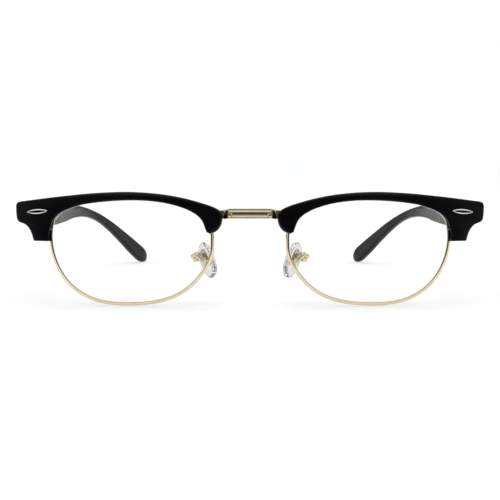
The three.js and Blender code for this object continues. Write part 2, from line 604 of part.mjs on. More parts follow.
function temple() {
  const sections = [];
  for (let i = 0; i <= TEMPLE_STEPS; i++) {
    const t = i / TEMPLE_STEPS;
    const size = templeSize.getPoint(t);
    sections.push(templeSection(templeCurve.getPoint(t), templeAxes(t), size.x, size.y));
  }
  // The tip closes on a half ellipse.
  const axes = templeAxes(1);
  const start = templeCurve.getPoint(1);
  const end = new THREE.Vector3(...TEMPLE_TIP);
  const size = templeSize.getPoint(1);
  for (const share of [0.35, 0.65, 0.87, 0.98]) {
    const shrink = Math.sqrt(1 - share * share);
    sections.push(templeSection(start.clone().lerp(end, share), axes,
      size.x * shrink, size.y * (0.35 + 0.65 * shrink)));
  }
  const [mouthX, , mouthZ] = TEMPLE_STATIONS[0];
  const mouth = rod(CORE_BORE, 10, 16, [mouthX, mouthZ], "y", 8);
  return cut(skin(sections), templeTube(CORE_BORE, 14, CORE_END, 8), mouth, ...sidePinHoles());
}

const templeCore = () => templeTube(CORE_RADIUS, CORE_START, CORE_END - 5, 6);

// ---------------------------------------------------------------- bridge

function bridge() {
  const mirrored = BRIDGE_STATIONS.slice(1).reverse().map(([x, ...rest]) => [-x, ...rest]);
  const sections = [...mirrored, ...BRIDGE_STATIONS].map(([x, y, z, height, thick]) => {
    const h = height / 2;
    const w = thick / 2;
    const c = BRIDGE_CORNER;
    return [
      [-w, -h + c], [-w + c, -h], [w - c, -h], [w, -h + c],
      [w, h - c], [w - c, h], [-w + c, h], [-w, h - c],
    ].map(([dy, dz]) => new THREE.Vector3(x, y + dy, z + dz));
  });
  const outside = RIM_THICK + 0.1;
  const cope = ringRoundRim([[-3, -5], [outside, -5], [outside, 8], [-3, 8]]);
  const hollow = plateInFront(BRIDGE_HOLLOW, -5, BRIDGE_HOLLOW_Y);
  return cut(skin(sections), cope, cope.mirror([1, 0, 0]), hollow);
}

// ---------------------------------------------------------------- nose pads
// Drawn in the pad's own frame, at the middle of its screw: x along the screw and across the pad
// towards the face, y up the pad's length, z out of its back and away from the nose.

// An oval across the pad, at depth dz behind the pad's middle.
function oval(length, width, dz, up = 0, sides = 20, power = 2.3) {
  const shape = (v) => Math.sign(v) * Math.abs(v) ** (2 / power);
  return Array.from({ length: sides }, (_, k) => {
    const a = (2 * Math.PI * k) / sides;
    const across = (width / 2) * shape(Math.cos(a));
    const along = (length / 2) * shape(Math.sin(a));
    return new THREE.Vector3(across, along + up - STUD_UP, dz - PAD_AXIS);
  });
}

function nosePad() {
  const t = PAD_THICK / 2;
  const body = skin([[0.45, 0.45, -t], [0.8, 0.8, -0.72 * t], [0.96, 0.96, -0.2 * t],
    [1, 1, 0.25 * t], [0.94, 0.92, 0.7 * t], [0.7, 0.66, t],
  ].map(([l, w, dz]) => oval(PAD_LENGTH * l, PAD_WIDTH * w, dz)));
  const seat = [t - INSERT_THICK - 0.1, t + 1].map((dz) =>
    oval(INSERT_LENGTH + 2 * INSERT_FIT, INSERT_WIDTH + 2 * INSERT_FIT, dz, INSERT_UP));
  return cut(body, skin(seat));
}

// The metal plate set in the pad's back, with the stud that the screw passes through.
function padPlate() {
  const back = PAD_THICK / 2 - 0.05;
  const plate = skin([back - INSERT_THICK, back].map((dz) =>
    oval(INSERT_LENGTH, INSERT_WIDTH, dz, INSERT_UP)));
  const neck = box(-STUD_HALF, STUD_HALF, -0.65, 0.65, back - 0.3 - PAD_AXIS, 0);
  const eye = rod(EYE_RADIUS, -STUD_HALF, STUD_HALF, [0, 0], "x");
  return cut(join(plate, neck, eye), rod(PAD_PIN_BORE, -3, 3, [0, 0], "x", 12));
}

// The box on the pad arm: two cheeks beside the stud, and a back that joins them.
function padBox() {
  const half = PAD_BOX_HEIGHT / 2;
  const inner = STUD_HALF + CHEEK_GAP;
  const [z0, z1] = PAD_BOX_DEPTH;
  return cut(box(-PAD_BOX_HALF, PAD_BOX_HALF, -half, half, z0, z1),
    box(-inner, inner, -half - 1, half + 1, z0 - 1, EYE_RADIUS + CHEEK_GAP),
    rod(PAD_PIN_BORE, -3, 3, [0, 0], "x", 12));
}

const padScrew = () =>
  screw({ ...PAD_PIN, length: 2 * PAD_BOX_HALF - 0.05 })
    .rotate([0, -90, 0]).translate([-PAD_BOX_HALF - HEAD_GAP, 0, 0]);

// The pad's frame in the front's frame.
function padBasis() {
  const length = PAD_UP.clone().normalize();
  const out = PAD_OUT.clone().addScaledVector(length, -PAD_OUT.dot(length)).normalize();
  const width = new THREE.Vector3().crossVectors(length, out);
  const origin = PAD_CENTRE.clone()
    .addScaledVector(out, PAD_AXIS).addScaledVector(length, STUD_UP);
  return { width, length, out, origin };
}

// The bent wire from the back of the eyewire to the pad's box.
function padArm() {
  const { width, length, out, origin } = padBasis();
  const at = (w, l, o) => origin.clone().addScaledVector(width, w)
    .addScaledVector(length, l).addScaledVector(out, o);
  const path = new THREE.CatmullRomCurve3([
    ...[ARM_ROOT, ...ARM_BENDS].map((place) => new THREE.Vector3(...place)),
    at(-2.1, -0.5, 1.9), at(-0.7, 0, 2.35), at(0, 0, 1.95), at(0, 0, PAD_BOX_DEPTH[1] + 0.12),
  ], false, "centripetal");
  const section = new THREE.Shape();
  section.absarc(0, 0, ARM_RADIUS, 0, 2 * Math.PI);
  return solid(new THREE.ExtrudeGeometry(section,
    { steps: 20, curveSegments: 4, extrudePath: path }));
}

// ---------------------------------------------------------------- assembly

// The height of a piece's lowest point once the front leans back by some degrees.
const lowest = (made, lean) => made.rotate([-lean, 0, 0]).boundingBox().min[2];

// The lean, in degrees, at which the eyewire and the temple touch the table together.
function restLean(rim, arm) {
  let [small, large] = [0, 20];
  for (let i = 0; i < 40; i++) {
    const middle = (small + large) / 2;
    if (lowest(rim, middle) < lowest(arm, middle)) small = middle;
    else large = middle;
  }
  return (small + large) / 2;
}
const ROUND_EYEWIRE = eyewire();
const ROUND_TEMPLE = temple();
const LEAN = restLean(ROUND_EYEWIRE, ROUND_TEMPLE);

// Takes a shallow flat off a piece where it stands on the table.
function standing(made) {
  const table = lowest(made, LEAN) + REST_FLAT;
  return cut(made, box(-100, 100, -200, 200, table - 5, table).rotate([LEAN, 0, 0]));
}

function named(name, made, material) {
  const mesh = new THREE.Mesh(geometryOf(made), material);
  mesh.name = name;
  return mesh;
}

// Every piece of one side, in the front's frame, as [name, solid, material].
const SIDE_PIECES = [
  ["eyewire", standing(ROUND_EYEWIRE), GOLD],
  ["lens", lens(), LENS],
  ["closing_block_upper", closingBlockUpper(), GOLD],
  ["closing_block_lower", closingBlockLower(), GOLD],
  ["rim_lock_screw", rimLockScrew(), STEEL],
  ["nasal_lug", nasalLug(), GOLD],
  ["brow", brow(), PLASTIC],
  ["brow_screw_temporal", browScrewTemporal(), STEEL],
  ["brow_screw_nasal", browScrewNasal(), STEEL],
  ["brow_rivet", browRivet(), SILVER],
  ["hinge_front", hingeFront(), GOLD],
  ["hinge_screw", hingeScrew(), STEEL],
  ["hinge_temple", hingeTemple(), GOLD],
  ["temple_rivet", templeRivet(), SILVER],
  ["temple", standing(ROUND_TEMPLE), PLASTIC],
  ["temple_core", templeCore(), STEEL],
  ["pad_arm", padArm(), GOLD],
];
const PAD_PIECES = [
  ["pad_box", padBox(), GOLD],
  ["pad_screw", padScrew(), STEEL],
  ["pad_plate", padPlate(), GOLD],
  ["nose_pad", nosePad(), CLEAR_PAD],
];

// A group of pieces, each named with the side it is on.
function groupOf(pieces, label) {
  const group = new THREE.Group();
  for (const [name, made, material] of pieces)
    group.add(named(`${name}_${label}`, made, material));
  return group;
}

function side(label) {
  const { width, length, out, origin } = padBasis();
  const pad = groupOf(PAD_PIECES, label);
  pad.quaternion.setFromRotationMatrix(new THREE.Matrix4().makeBasis(width, length, out));
  pad.position.copy(origin);
  return groupOf(SIDE_PIECES, label).add(pad);
}

const left = side("left");
const right = side("right");
right.scale.x = -1;

const front = new THREE.Group();
front.name = "front_frame";
front.add(left, right, named("bridge", bridge(), GOLD));
front.rotation.x = -THREE.MathUtils.degToRad(LEAN);

const glasses = new THREE.Group();
glasses.name = "half_rim_eyeglasses";
glasses.add(front);
glasses.updateMatrixWorld(true);
const extent = new THREE.Box3().setFromObject(glasses, true);
front.position.set(0, -(extent.min.y + extent.max.y) / 2, -extent.min.z);

export default glasses;
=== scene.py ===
"""Half rim (browline) eyeglasses: the finished looks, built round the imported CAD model.

Shapes are drawn in the front's own frame, in millimetres: x to the wearer's left, y towards the
wearer's face, z up, with the origin between the lenses. One side is drawn once, at x > 0, and
mirrored for the other. The hinge pin's joint says how that frame stands in the row frame.
"""

import json
import math

import bmesh
import bpy
from mathutils import Matrix, Vector


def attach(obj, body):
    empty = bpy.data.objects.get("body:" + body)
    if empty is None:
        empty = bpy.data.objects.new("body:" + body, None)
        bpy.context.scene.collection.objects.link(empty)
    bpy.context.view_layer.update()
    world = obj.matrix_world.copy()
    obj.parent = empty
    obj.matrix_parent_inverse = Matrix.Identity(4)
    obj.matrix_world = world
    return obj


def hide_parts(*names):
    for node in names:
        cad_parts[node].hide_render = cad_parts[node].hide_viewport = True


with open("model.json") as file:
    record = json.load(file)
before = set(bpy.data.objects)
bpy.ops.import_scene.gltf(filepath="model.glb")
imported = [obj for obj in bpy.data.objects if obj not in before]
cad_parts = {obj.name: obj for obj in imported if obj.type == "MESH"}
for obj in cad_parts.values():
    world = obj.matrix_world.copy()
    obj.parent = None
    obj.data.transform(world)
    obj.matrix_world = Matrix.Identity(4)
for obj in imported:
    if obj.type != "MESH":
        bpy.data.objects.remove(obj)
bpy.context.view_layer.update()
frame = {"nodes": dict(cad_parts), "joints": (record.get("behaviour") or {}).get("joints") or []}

# ------------------------------------------------------------------ dimensions in millimetres

LENS_X = 34.8
WRAP = math.radians(4)
BASE_RADIUS = 110
RIM_THICK = 1.05
RIM_DEPTH = 1.9
RIM_GROOVE = 0.42
RIM_GROOVE_HALF = 0.55
SPLIT_Z = 6.1
SPLIT_GAP = 0.25  # between the closing blocks
RIM_GAP = 0.05  # the eyewire's own ends nearly meet
LENS_FRONT = -0.7
LENS_BACK = 0.9
LENS_FIT = 0.12
BROW_FRONT = 2.7
BROW_BACK = 1.6
BROW_BACK_END = 2.4
BROW_CROWN = 0.12
BROW_CURL = 0.3
BROW_HOLLOW_INNER = 58.5
BEYOND = 20  # where a cut has left the brow behind it
FIT = 0.15
BUTT_Y = 13.3
BUTT_INNER = 65.85
BUTT_CURL = 0.35
HINGE_SEAT_Y = 9.85
PIVOT = (64.3, 13.5, 11.5)
HINGE_HALF = 2.5
KNUCKLE_RADIUS = 1.35
KNUCKLE_HALF = 0.8
KNUCKLE_GAP = 0.15
LEAF_THICK = 0.8
FRONT_LEAF_INNER = 59.7
TEMPLE_LEAF = {"x": 65.05, "y0": 16.3, "y1": 24.6, "arm": 17.2}
PIN_RADIUS = 0.55
PIN_HEAD = 1.1
RIVET_LENGTH = 6.8
RIVET_WIDTH = 1.5
RIVET_SUNK = 0.5
RIVET_SLOPE = math.radians(-2.5)
BROW_RIVET = (63.2, 11.42)
TEMPLE_RIVET = (20.4, 11.55)
PAD_LENGTH = 11.5
PAD_WIDTH = 6.6
PAD_THICK = 2.0
PAD_UP = Vector((0.35, 0.36, 0.86))
PAD_OUT = Vector((0.83, -0.56, 0))
PAD_CENTRE = Vector((12.7, 8.8, -3.0))
PAD_AXIS = 3.1
STUD_UP = 1.45
INSERT_UP = 0.6
PLATE_LENGTH = 6.3
PLATE_WIDTH = 3.2
NECK_HALF = 0.62
EYE_HALF = 0.7
EYE_RADIUS = 0.78
BOX_HALF = 1.37
BOX_INNER = 0.82
ARM_ROOT = (12.05, 1.95, -3.7)
ARM_RADIUS = 0.5

# The eyewire's inner edge: (outwards from the lens centre, up).
RIM_OUTLINE = [
    (0, 14.9), (7.5, 14.7), (13.0, 13.92), (17.1, 13.05), (20.6, 11.45), (22.4, 9.85), (23.22, 8.4),
    (23.75, 6.2), (23.87, 3.4), (23.47, 0.3), (22.55, -2.87), (20.83, -6.4), (18.05, -9.9),
    (14.1, -12.75), (9.65, -14.5), (5.0, -15.2), (0, -15.33), (-4.65, -15.05), (-8.75, -14.35),
    (-13.2, -12.77), (-17.35, -9.92), (-20.7, -6.05), (-22.65, -2.6), (-23.22, 1.6),
    (-22.8, 6.2), (-20.0, 10.5), (-14.9, 13.15), (-7.8, 14.5),
]

# Ribs of the brow, nasal tip to foot: x, z beside the lens, then x, z on the outer edge.
BROW_RIBS = [
    (12.6, 5.15, 12.0, 4.85), (13.0, 5.85, 10.75, 5.05), (13.33, 6.7, 9.55, 5.8),
    (13.73, 7.78, 8.63, 7.05), (14.15, 8.58, 8.17, 8.6), (14.82, 9.45, 8.17, 10.0),
    (15.68, 10.21, 8.53, 11.1), (16.75, 10.89, 9.45, 11.97), (18.32, 11.73, 11.45, 12.93),
    (20.28, 12.48, 14.5, 13.92), (23.55, 13.42, 19.25, 15.2), (27.03, 14.05, 24.55, 16.2),
    (31.5, 14.48, 30.3, 16.83), (36.5, 14.54, 36.5, 17.1), (41.5, 14.3, 42.5, 16.97),
    (46.0, 13.87, 48.3, 16.64), (49.5, 13.33, 53.3, 16.19), (52.15, 12.57, 58.0, 15.74),
    (54.3, 11.8, 62.9, 15.2), (56.0, 10.95, 66.8, 14.76), (57.1, 10.1, 69.2, 14.44),
    (57.83, 9.35, 69.85, 14.05), (58.25, 8.75, 70.03, 13.4), (58.53, 8.2, 70.0, 12.0),
    (58.72, 7.6, 69.88, 10.3), (58.88, 7.1, 69.6, 9.05), (59.02, 6.6, 68.95, 8.4),
    (59.15, 6.1, 67.9, 8.02), (59.27, 5.6, 66.85, 7.5), (59.37, 5.0, 65.95, 6.6),
    (59.43, 4.3, 65.2, 5.35), (59.47, 3.5, 64.7, 4.0), (59.5, 2.65, 64.35, 2.65),
]

# The brow's end block behind its face, in front view: x, z, corner radius.
END_BLOCK = [
    (57.0, 8.65, 0.1), (68.4, 8.65, 0.4), (69.3, 8.95, 0.4), (69.75, 9.8, 0.5),
    (69.9, 11.4, 0.8), (69.95, 13.3, 0.5), (69.55, 13.9, 0.4), (67.0, 14.45, 1.0),
    (57.0, 15.5, 0.1),
]

# The bridge bar: y and z of its middle, thickness, and how far it reaches to each side.
BAR_Y = -1.05
BAR_Z = 10.67
BAR_THICK = 1.7
BAR_END = 6.3

# The bridge's arm from inside the bar to the eyewire: x, y, z, height, thickness.
BRIDGE_ARM = [
    (4.9, -0.45, BAR_Z, 2.6, 0.5), (5.9, -0.45, BAR_Z, 2.8, 0.7), (6.4, -0.4, 10.62, 2.85, 0.8),
    (6.65, -0.05, 10.58, 2.85, 1.0), (7.0, 0.4, 10.53, 2.85, 1.2), (7.4, 0.75, 10.48, 2.85, 1.3),
    (7.85, 0.94, 10.46, 2.85, 1.3), (9.4, 1.02, 10.46, 2.85, 1.3), (11.6, 1.02, 10.46, 2.85, 1.3),
]

# The bar's section from the bottom of its back round to the top: behind its face, above its middle.
BAR_SECTION = [
    (1.55, -1.2), (1.3, -1.45), (0.9, -1.52), (0.5, -1.52), (0.3, -1.46), (0.21, -1.36),
    (0.2, -1.1), (0.31, -0.8), (0.4, -0.5), (0.47, -0.15), (0.49, 0.1), (0.49, 0.44),
    (0.02, 0.47), (0.04, 0.53), (0.19, 0.97), (0.2, 1.28), (0.28, 1.42), (0.45, 1.52),
    (1.0, 1.52), (1.35, 1.42), (1.55, 1.2),
]

# Temple stations from the butt to the tip: x, y, z of its middle, height, thickness.
TEMPLE_STATIONS = [
    (67.95, 13.45, 11.5, 5.6, 3.9), (67.95, 22, 11.5, 5.7, 3.9), (67.95, 32, 11.5, 6.0, 3.9),
    (67.7, 45, 11.55, 6.6, 3.7), (67.05, 58, 11.8, 6.8, 3.5), (66.0, 75, 12.8, 6.1, 3.2),
    (64.5, 90, 13.92, 4.7, 2.9), (62.6, 100, 14.13, 3.75, 2.6), (60.3, 108, 13.57, 3.05, 2.5),
    (57.5, 115, 12.0, 2.85, 2.5), (54.4, 122, 9.32, 3.4, 2.5), (50.9, 130, 5.58, 4.3, 2.5),
    (47.2, 138, 1.36, 5.4, 2.5), (44.8, 143, -1.29, 5.75, 2.5),
]
TEMPLE_TIP = Vector((42.7, 147.2, -3.55))

BLOCK = {"x1": 62.8, "y0": 4.15, "y1": 6.8, "low": 3.6, "high": 8.4, "screw": (61.55, 5.5)}
BLOCK_INNER = {"low": 59.86, "split": 59.72, "high": 59.35}  # x beside the eyewire
TAB = {"x1": 64.9, "y0": 7.0, "y1": 7.7, "z0": 6.6, "screw": (63.9, 7.5)}
LUG = {"x0": 9.9, "x1": 13.1, "y0": 2.05, "y1": 2.7, "z0": 6.75, "z1": 8.95, "screw": (10.85, 7.85)}
SMALL_HEAD = 0.9

# ------------------------------------------------------------------ the front's frame

fold = next(j for j in frame["joints"] if j["name"] == "temple_left_fold")
LEAN = math.atan2(fold["axis"][1], fold["axis"][2])
TURN = Matrix.Rotation(-LEAN, 4, "X") @ Matrix.Scale(0.001, 4)
TO_ROW = Matrix.Translation(Vector(fold["pos_m"]) - TURN @ Vector(PIVOT)) @ TURN
MIRROR = Matrix.Scale(-1, 4, (1, 0, 0))
SIDES = {"left": TO_ROW, "right": TO_ROW @ MIRROR}


# ------------------------------------------------------------------ curves and outlines


def ramp(x, low, high):
    """0 up to low, 1 from high on, and smooth between them."""
    t = min(max((x - low) / (high - low), 0), 1)
    return t * t * (3 - 2 * t)


def spline(points, t, closed=False):
    """The point at share t of a centripetal Catmull-Rom curve through the points."""
    n = len(points)
    spans = n if closed else n - 1
    place = min(max(t, 0), 1) * spans
    i = min(int(place), spans - 1)
    w = place - i
    if closed:
        p0, p1, p2, p3 = (Vector(points[k % n]) for k in range(i - 1, i + 3))
    else:
        p1, p2 = Vector(points[i]), Vector(points[i + 1])
        p0 = Vector(points[i - 1]) if i else 2 * p1 - p2
        p3 = Vector(points[i + 2]) if i + 2 < n else 2 * p2 - p1
    d0, d1, d2 = (max((b - a).length, 1e-6) ** 0.5 for a, b in ((p0, p1), (p1, p2), (p2, p3)))
    m1 = ((p1 - p0) / d0 - (p2 - p0) / (d0 + d1) + (p2 - p1) / d1) * d1
    m2 = ((p2 - p1) / d1 - (p3 - p1) / (d1 + d2) + (p3 - p2) / d2) * d1
    return p1 + m1 * w + (3 * (p2 - p1) - 2 * m1 - m2) * w**2 + (2 * (p1 - p2) + m1 + m2) * w**3


def even_shares(points, count, closed=False):
    """Shares of the curve that part it into equal lengths."""
    fine = 40 * len(points)
    samples = [spline(points, i / fine, closed) for i in range(fine + 1)]
    lengths = [0.0]
    for a, b in zip(samples, samples[1:]):
        lengths.append(lengths[-1] + (b - a).length)
    shares = []
    i = 0
    for k in range(count + 1):
        goal = lengths[-1] * k / count
        while i < fine - 1 and lengths[i + 1] < goal:
            i += 1
        step = lengths[i + 1] - lengths[i]
        shares.append((i + (goal - lengths[i]) / step) / fine)
    return shares, lengths[-1]


def rounded(corners, segments=5):
    """An outline from (a, b, radius) corners, each rounded by an arc."""
    outline = []
    n = len(corners)
    for i, (a, b, radius) in enumerate(corners):
        here = Vector((a, b))
        before = Vector(corners[i - 1][:2]) - here
        after = Vector(corners[(i + 1) % n][:2]) - here
        half = before.angle(after) / 2
        reach = min(radius / math.tan(half), 0.49 * min(before.length, after.length))
        start = here + before.normalized() * reach
        end = here + after.normalized() * reach
        for k in range(segments + 1):
            w = k / segments
            outline.append(start * (1 - w) ** 2 + here * 2 * w * (1 - w) + end * w**2)
    return outline


def inset(outline, distance):
    """An outline drawn in by a distance."""
    n = len(outline)
    area = sum(outline[i - 1].cross(outline[i]) for i in range(n))
    turn = 1 if area > 0 else -1
    drawn = []
    for i in range(n):
        a = (outline[i] - outline[i - 1]).normalized()
        b = (outline[(i + 1) % n] - outline[i]).normalized()
        middle = a + b
        middle = middle.normalized() if middle.length > 1e-6 else a
        normal = Vector((-middle.y, middle.x)) * turn
        drawn.append(outline[i] + normal * (distance / max(middle.dot(a), 0.5)))
    return drawn


def circle(radius, sides=32, centre=(0, 0), start=0.0, sweep=2 * math.pi):
    """Points of a circle, or of an arc of it."""
    return [
        Vector((
            centre[0] + radius * math.cos(start + sweep * k / sides),
            centre[1] + radius * math.sin(start + sweep * k / sides),
        ))
        for k in range(sides)
    ]


# ------------------------------------------------------------------ meshes


def mesh_of(points, faces):
    """A closed mesh with its normals outwards."""
    mesh = bpy.data.meshes.new("shape")
    mesh.from_pydata([tuple(p) for p in points], [], faces)
    bm = bmesh.new()
    bm.from_mesh(mesh)
    bmesh.ops.recalc_face_normals(bm, faces=bm.faces)
    bm.to_mesh(mesh)
    bm.free()
    return mesh


def skin(sections, closed=False):
    """A mesh over a row of sections, each the same number of points in order."""
    n = len(sections[0])
    points = [p for section in sections for p in section]
    faces = []
    rows = len(sections) if closed else len(sections) - 1
    for i in range(rows):
        a = i * n
        b = (i + 1) % len(sections) * n
        for k in range(n):
            j = (k + 1) % n
            faces.append((a + k, b + k, b + j, a + j))
    if not closed:
        faces.append(tuple(range(n)))
        faces.append(tuple(range(len(points) - n, len(points))))
    return mesh_of(points, faces)


def with_round_ends(sections, radius, steps=4, ends=(True, True)):
    """A row of sections whose first and last ones curl inwards to a rounded end."""

    def curl(last, before):
        centre = sum(last, Vector()) / len(last)
        away = centre - sum(before, Vector()) / len(before)
        away.normalize()
        loops = []
        for k in range(1, steps + 1):
            angle = math.pi / 2 * k / steps
            drawn = radius * (1 - math.cos(angle))
            shift = away * radius * math.sin(angle)
            loop = []
            for p in last:
                arm = p - centre
                loop.append(centre + arm * max(1 - drawn / max(arm.length, 1e-6), 0.05) + shift)
            loops.append(loop)
        return loops

    first = curl(sections[0], sections[1])[::-1] if ends[0] else []
    last = curl(sections[-1], sections[-2]) if ends[1] else []
    return first + list(sections) + last


def slab(outline, low, high, place, bevel=0.12, steps=3):
    """An outline pushed from low to high, its two rims bevelled; place(a, b, h) puts a point."""
    loops = []
    for k in range(steps + 1):
        angle = math.pi / 2 * k / steps
        drawn = inset(outline, bevel * (1 - math.sin(angle)))
        loops.append([place(p.x, p.y, low + bevel * (1 - math.cos(angle))) for p in drawn])
    for k in range(steps + 1):
        angle = math.pi / 2 * (1 - k / steps)
        drawn = inset(outline, bevel * (1 - math.sin(angle)))
        loops.append([place(p.x, p.y, high - bevel * (1 - math.cos(angle))) for p in drawn])
    return skin(loops)


def along_x(a, b, h):
    return Vector((h, a, b))


def along_y(a, b, h):
    return Vector((a, h, b))


def along_z(a, b, h):
    return Vector((a, b, h))


def block(x0, x1, y0, y1, z0, z1):
    """A sharp cutting block."""
    corners = [Vector((x0, z0)), Vector((x1, z0)), Vector((x1, z1)), Vector((x0, z1))]
    return skin([[along_y(p.x, p.y, y) for p in corners] for y in (y0, y1)])


def merged(*meshes):
    """Several meshes as one."""
    bm = bmesh.new()
    for mesh in meshes:
        bm.from_mesh(mesh)
    whole = bpy.data.meshes.new("shape")
    bm.to_mesh(whole)
    bm.free()
    return whole


def moved(mesh, matrix):
    mesh.transform(matrix)
    return mesh


def carve(mesh, cutters, operation="DIFFERENCE"):
    """A mesh with others cut out of it or joined to it."""
    target = bpy.data.objects.new("target", mesh)
    bpy.context.scene.collection.objects.link(target)
    spare = [target]
    for cutter in cutters:
        tool = bpy.data.objects.new("tool", cutter)
        bpy.context.scene.collection.objects.link(tool)
        spare.append(tool)
        modifier = target.modifiers.new("cut", "BOOLEAN")
        modifier.object = tool
        modifier.operation = operation
        modifier.solver = "MANIFOLD"
    bpy.context.view_layer.update()
    evaluated = target.evaluated_get(bpy.context.evaluated_depsgraph_get())
    result = bpy.data.meshes.new_from_object(evaluated)
    for thing in spare:
        bpy.data.objects.remove(thing)
    return result


# ------------------------------------------------------------------ materials


class Nodes:
    """A short way to write a material's node tree."""

    def __init__(self, name):
        self.material = bpy.data.materials.new(name)
        self.material.use_nodes = True
        self.tree = self.material.node_tree
        self.shader = self.tree.nodes["Principled BSDF"]
        self.where = self.add("ShaderNodeTexCoord").outputs["Object"]

    def add(self, kind, inputs=None, **settings):
        node = self.tree.nodes.new(kind)
        for key, value in settings.items():
            setattr(node, key, value)
        for key, value in (inputs or {}).items():
            self.put(node.inputs[key], value)
        return node

    def put(self, socket, value):
        if isinstance(value, bpy.types.NodeSocket):
            self.tree.links.new(value, socket)
        else:
            socket.default_value = value

    def noise(self, per_mm, detail=3.0, stretch=(1, 1, 1), roughness=0.55):
        """Noise with so many waves to the millimetre, drawn out along an axis by stretch."""
        mapped = self.add("ShaderNodeMapping", {"Vector": self.where, "Scale": stretch})
        noise = self.add("ShaderNodeTexNoise", {
            "Vector": mapped.outputs["Vector"], "Scale": per_mm * 1000,
            "Detail": detail, "Roughness": roughness,
        })
        return noise.outputs["Fac"]

    def span(self, value, low, high, start=0.3, end=0.7):
        """A value between start and end spread over low to high."""
        node = self.add("ShaderNodeMapRange", {
            "Value": value, "From Min": start, "From Max": end, "To Min": low, "To Max": high,
        })
        return node.outputs["Result"]

    def blend(self, factor, first, second):
        node = self.add("ShaderNodeMix", data_type="RGBA")
        self.put(node.inputs[0], factor)
        self.put(node.inputs[6], (*first, 1) if isinstance(first, tuple) else first)
        self.put(node.inputs[7], (*second, 1) if isinstance(second, tuple) else second)
        return node.outputs[2]

    def bump(self, height, depth_mm, strength=1.0, under=None):
        inputs = {"Height": height, "Distance": depth_mm / 1000, "Strength": strength}
        if under:
            inputs["Normal"] = under
        return self.add("ShaderNodeBump", inputs).outputs["Normal"]

    def finish(self, **inputs):
        for key, value in inputs.items():
            self.put(self.shader.inputs[key.replace("_", " ")], value)
        return self.material


def plastic(name, colour, scuffed, roughness):
    """Polished black plastic: a fine grain, faint hairlines along it, and soft dulling."""
    n = Nodes(name)
    cloudy = n.noise(0.12, 4)
    hairs = n.noise(2.2, 2, stretch=(0.06, 0.06, 1.0))
    grain = n.noise(9, 3)
    tone = n.blend(n.span(cloudy, 0, 1), colour, scuffed)
    rough = n.add("ShaderNodeMath", {0: n.span(cloudy, *roughness), 1: n.span(hairs, -0.02, 0.03)},
                  operation="ADD").outputs[0]
    normal = n.bump(grain, 0.004, 0.5, n.bump(hairs, 0.003, 0.4))
    return n.finish(**{"Base Color": tone, "Roughness": rough, "Normal": normal,
                       "Specular IOR Level": 0.15, "IOR": 1.46})


def metal(name, bright, worn, roughness, brushed=(0.1, 1, 1)):
    """Plated metal: its colour drifts a little, with fine polishing lines and dull patches."""
    n = Nodes(name)
    drift = n.noise(0.16, 4)
    lines = n.noise(3.5, 2, stretch=brushed)
    specks = n.noise(6, 2)
    tone = n.blend(n.span(drift, 0, 1), bright, worn)
    rough = n.add("ShaderNodeMath", {0: n.span(drift, *roughness), 1: n.span(lines, -0.02, 0.03)},
                  operation="ADD").outputs[0]
    normal = n.bump(lines, 0.0012, 0.5, n.bump(specks, 0.001, 0.4))
    return n.finish(**{"Base Color": tone, "Metallic": 1.0, "Roughness": rough, "Normal": normal})


def lens_glass():
    """Clear lens resin whose coating leaves a faint teal reflection."""
    n = Nodes("lens_resin")
    haze = n.noise(0.05, 2)
    tone = n.blend(n.span(haze, 0, 1), (0.985, 0.996, 0.993), (0.975, 0.992, 0.988))
    return n.finish(**{"Base Color": tone, "Roughness": 0.0, "IOR": 1.5,
                       "Transmission Weight": 1.0, "Specular Tint": (0.1, 0.5, 0.8, 1)})


def pad_silicone():
    """Clear moulded silicone, a little cloudy."""
    n = Nodes("clear_silicone")
    cloud = n.noise(0.5, 3)
    tone = n.blend(n.span(cloud, 0, 1), (0.93, 0.94, 0.95), (0.86, 0.88, 0.89))
    return n.finish(**{"Base Color": tone, "Roughness": 0.08, "IOR": 1.41,
                       "Transmission Weight": n.span(cloud, 0.78, 0.9)})


MATERIALS = {
    "brow": plastic("brow_black", (0.0018, 0.0017, 0.0027), (0.0034, 0.0033, 0.0045), (0.18, 0.24)),
    "temple": plastic("temple_black", (0.003, 0.0032, 0.004), (0.006, 0.0062, 0.007), (0.24, 0.32)),
    "gold": metal("pale_gold", (0.80, 0.71, 0.51), (0.75, 0.65, 0.44), (0.10, 0.16)),
    "silver": metal("rivet_silver", (0.84, 0.84, 0.82), (0.78, 0.78, 0.77), (0.10, 0.16)),
    "steel": metal("screw_steel", (0.62, 0.60, 0.56), (0.52, 0.50, 0.47), (0.2, 0.3), (1, 1, 0.15)),
    "lens": lens_glass(),
    "pad": pad_silicone(),
}


# ------------------------------------------------------------------ placing a piece


def show(mesh, node, body, material, matrix, sharp=35, second=None):
    """Puts a mesh into the row frame as the finished form of a CAD node."""
    mesh = mesh.copy()
    mesh.transform(matrix)
    if matrix.determinant() < 0:
        mesh.flip_normals()
    for polygon in mesh.polygons:
        polygon.use_smooth = True
    mesh.set_sharp_from_angle(angle=math.radians(sharp))
    mesh.materials.clear()
    mesh.materials.append(MATERIALS[material])
    if second:
        mesh.materials.append(MATERIALS[second])
    made = bpy.data.objects.new(f"fine_{node}", mesh)
    mesh.name = made.name
    bpy.context.scene.collection.objects.link(made)
    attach(made, body)
    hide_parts(node)
    return made


def show_both(mesh, name, body, material, **more):
    """The same piece on both sides; {side} in body is the side's name."""
    for side, matrix in SIDES.items():
        show(mesh, f"{name}_{side}", body.format(side=side), material, matrix, **more)


# ------------------------------------------------------------------ the front's curve


def sag(u, z):
    """How far the front curve lies behind the middle of the lens at (u outwards, z up)."""
    return math.tan(WRAP) * u + (u * u + z * z) / (2 * BASE_RADIUS)


def sag_at(x, z):
    return sag(x - LENS_X, z)


RIM_SHARES, RIM_LENGTH = even_shares(RIM_OUTLINE, 720, closed=True)


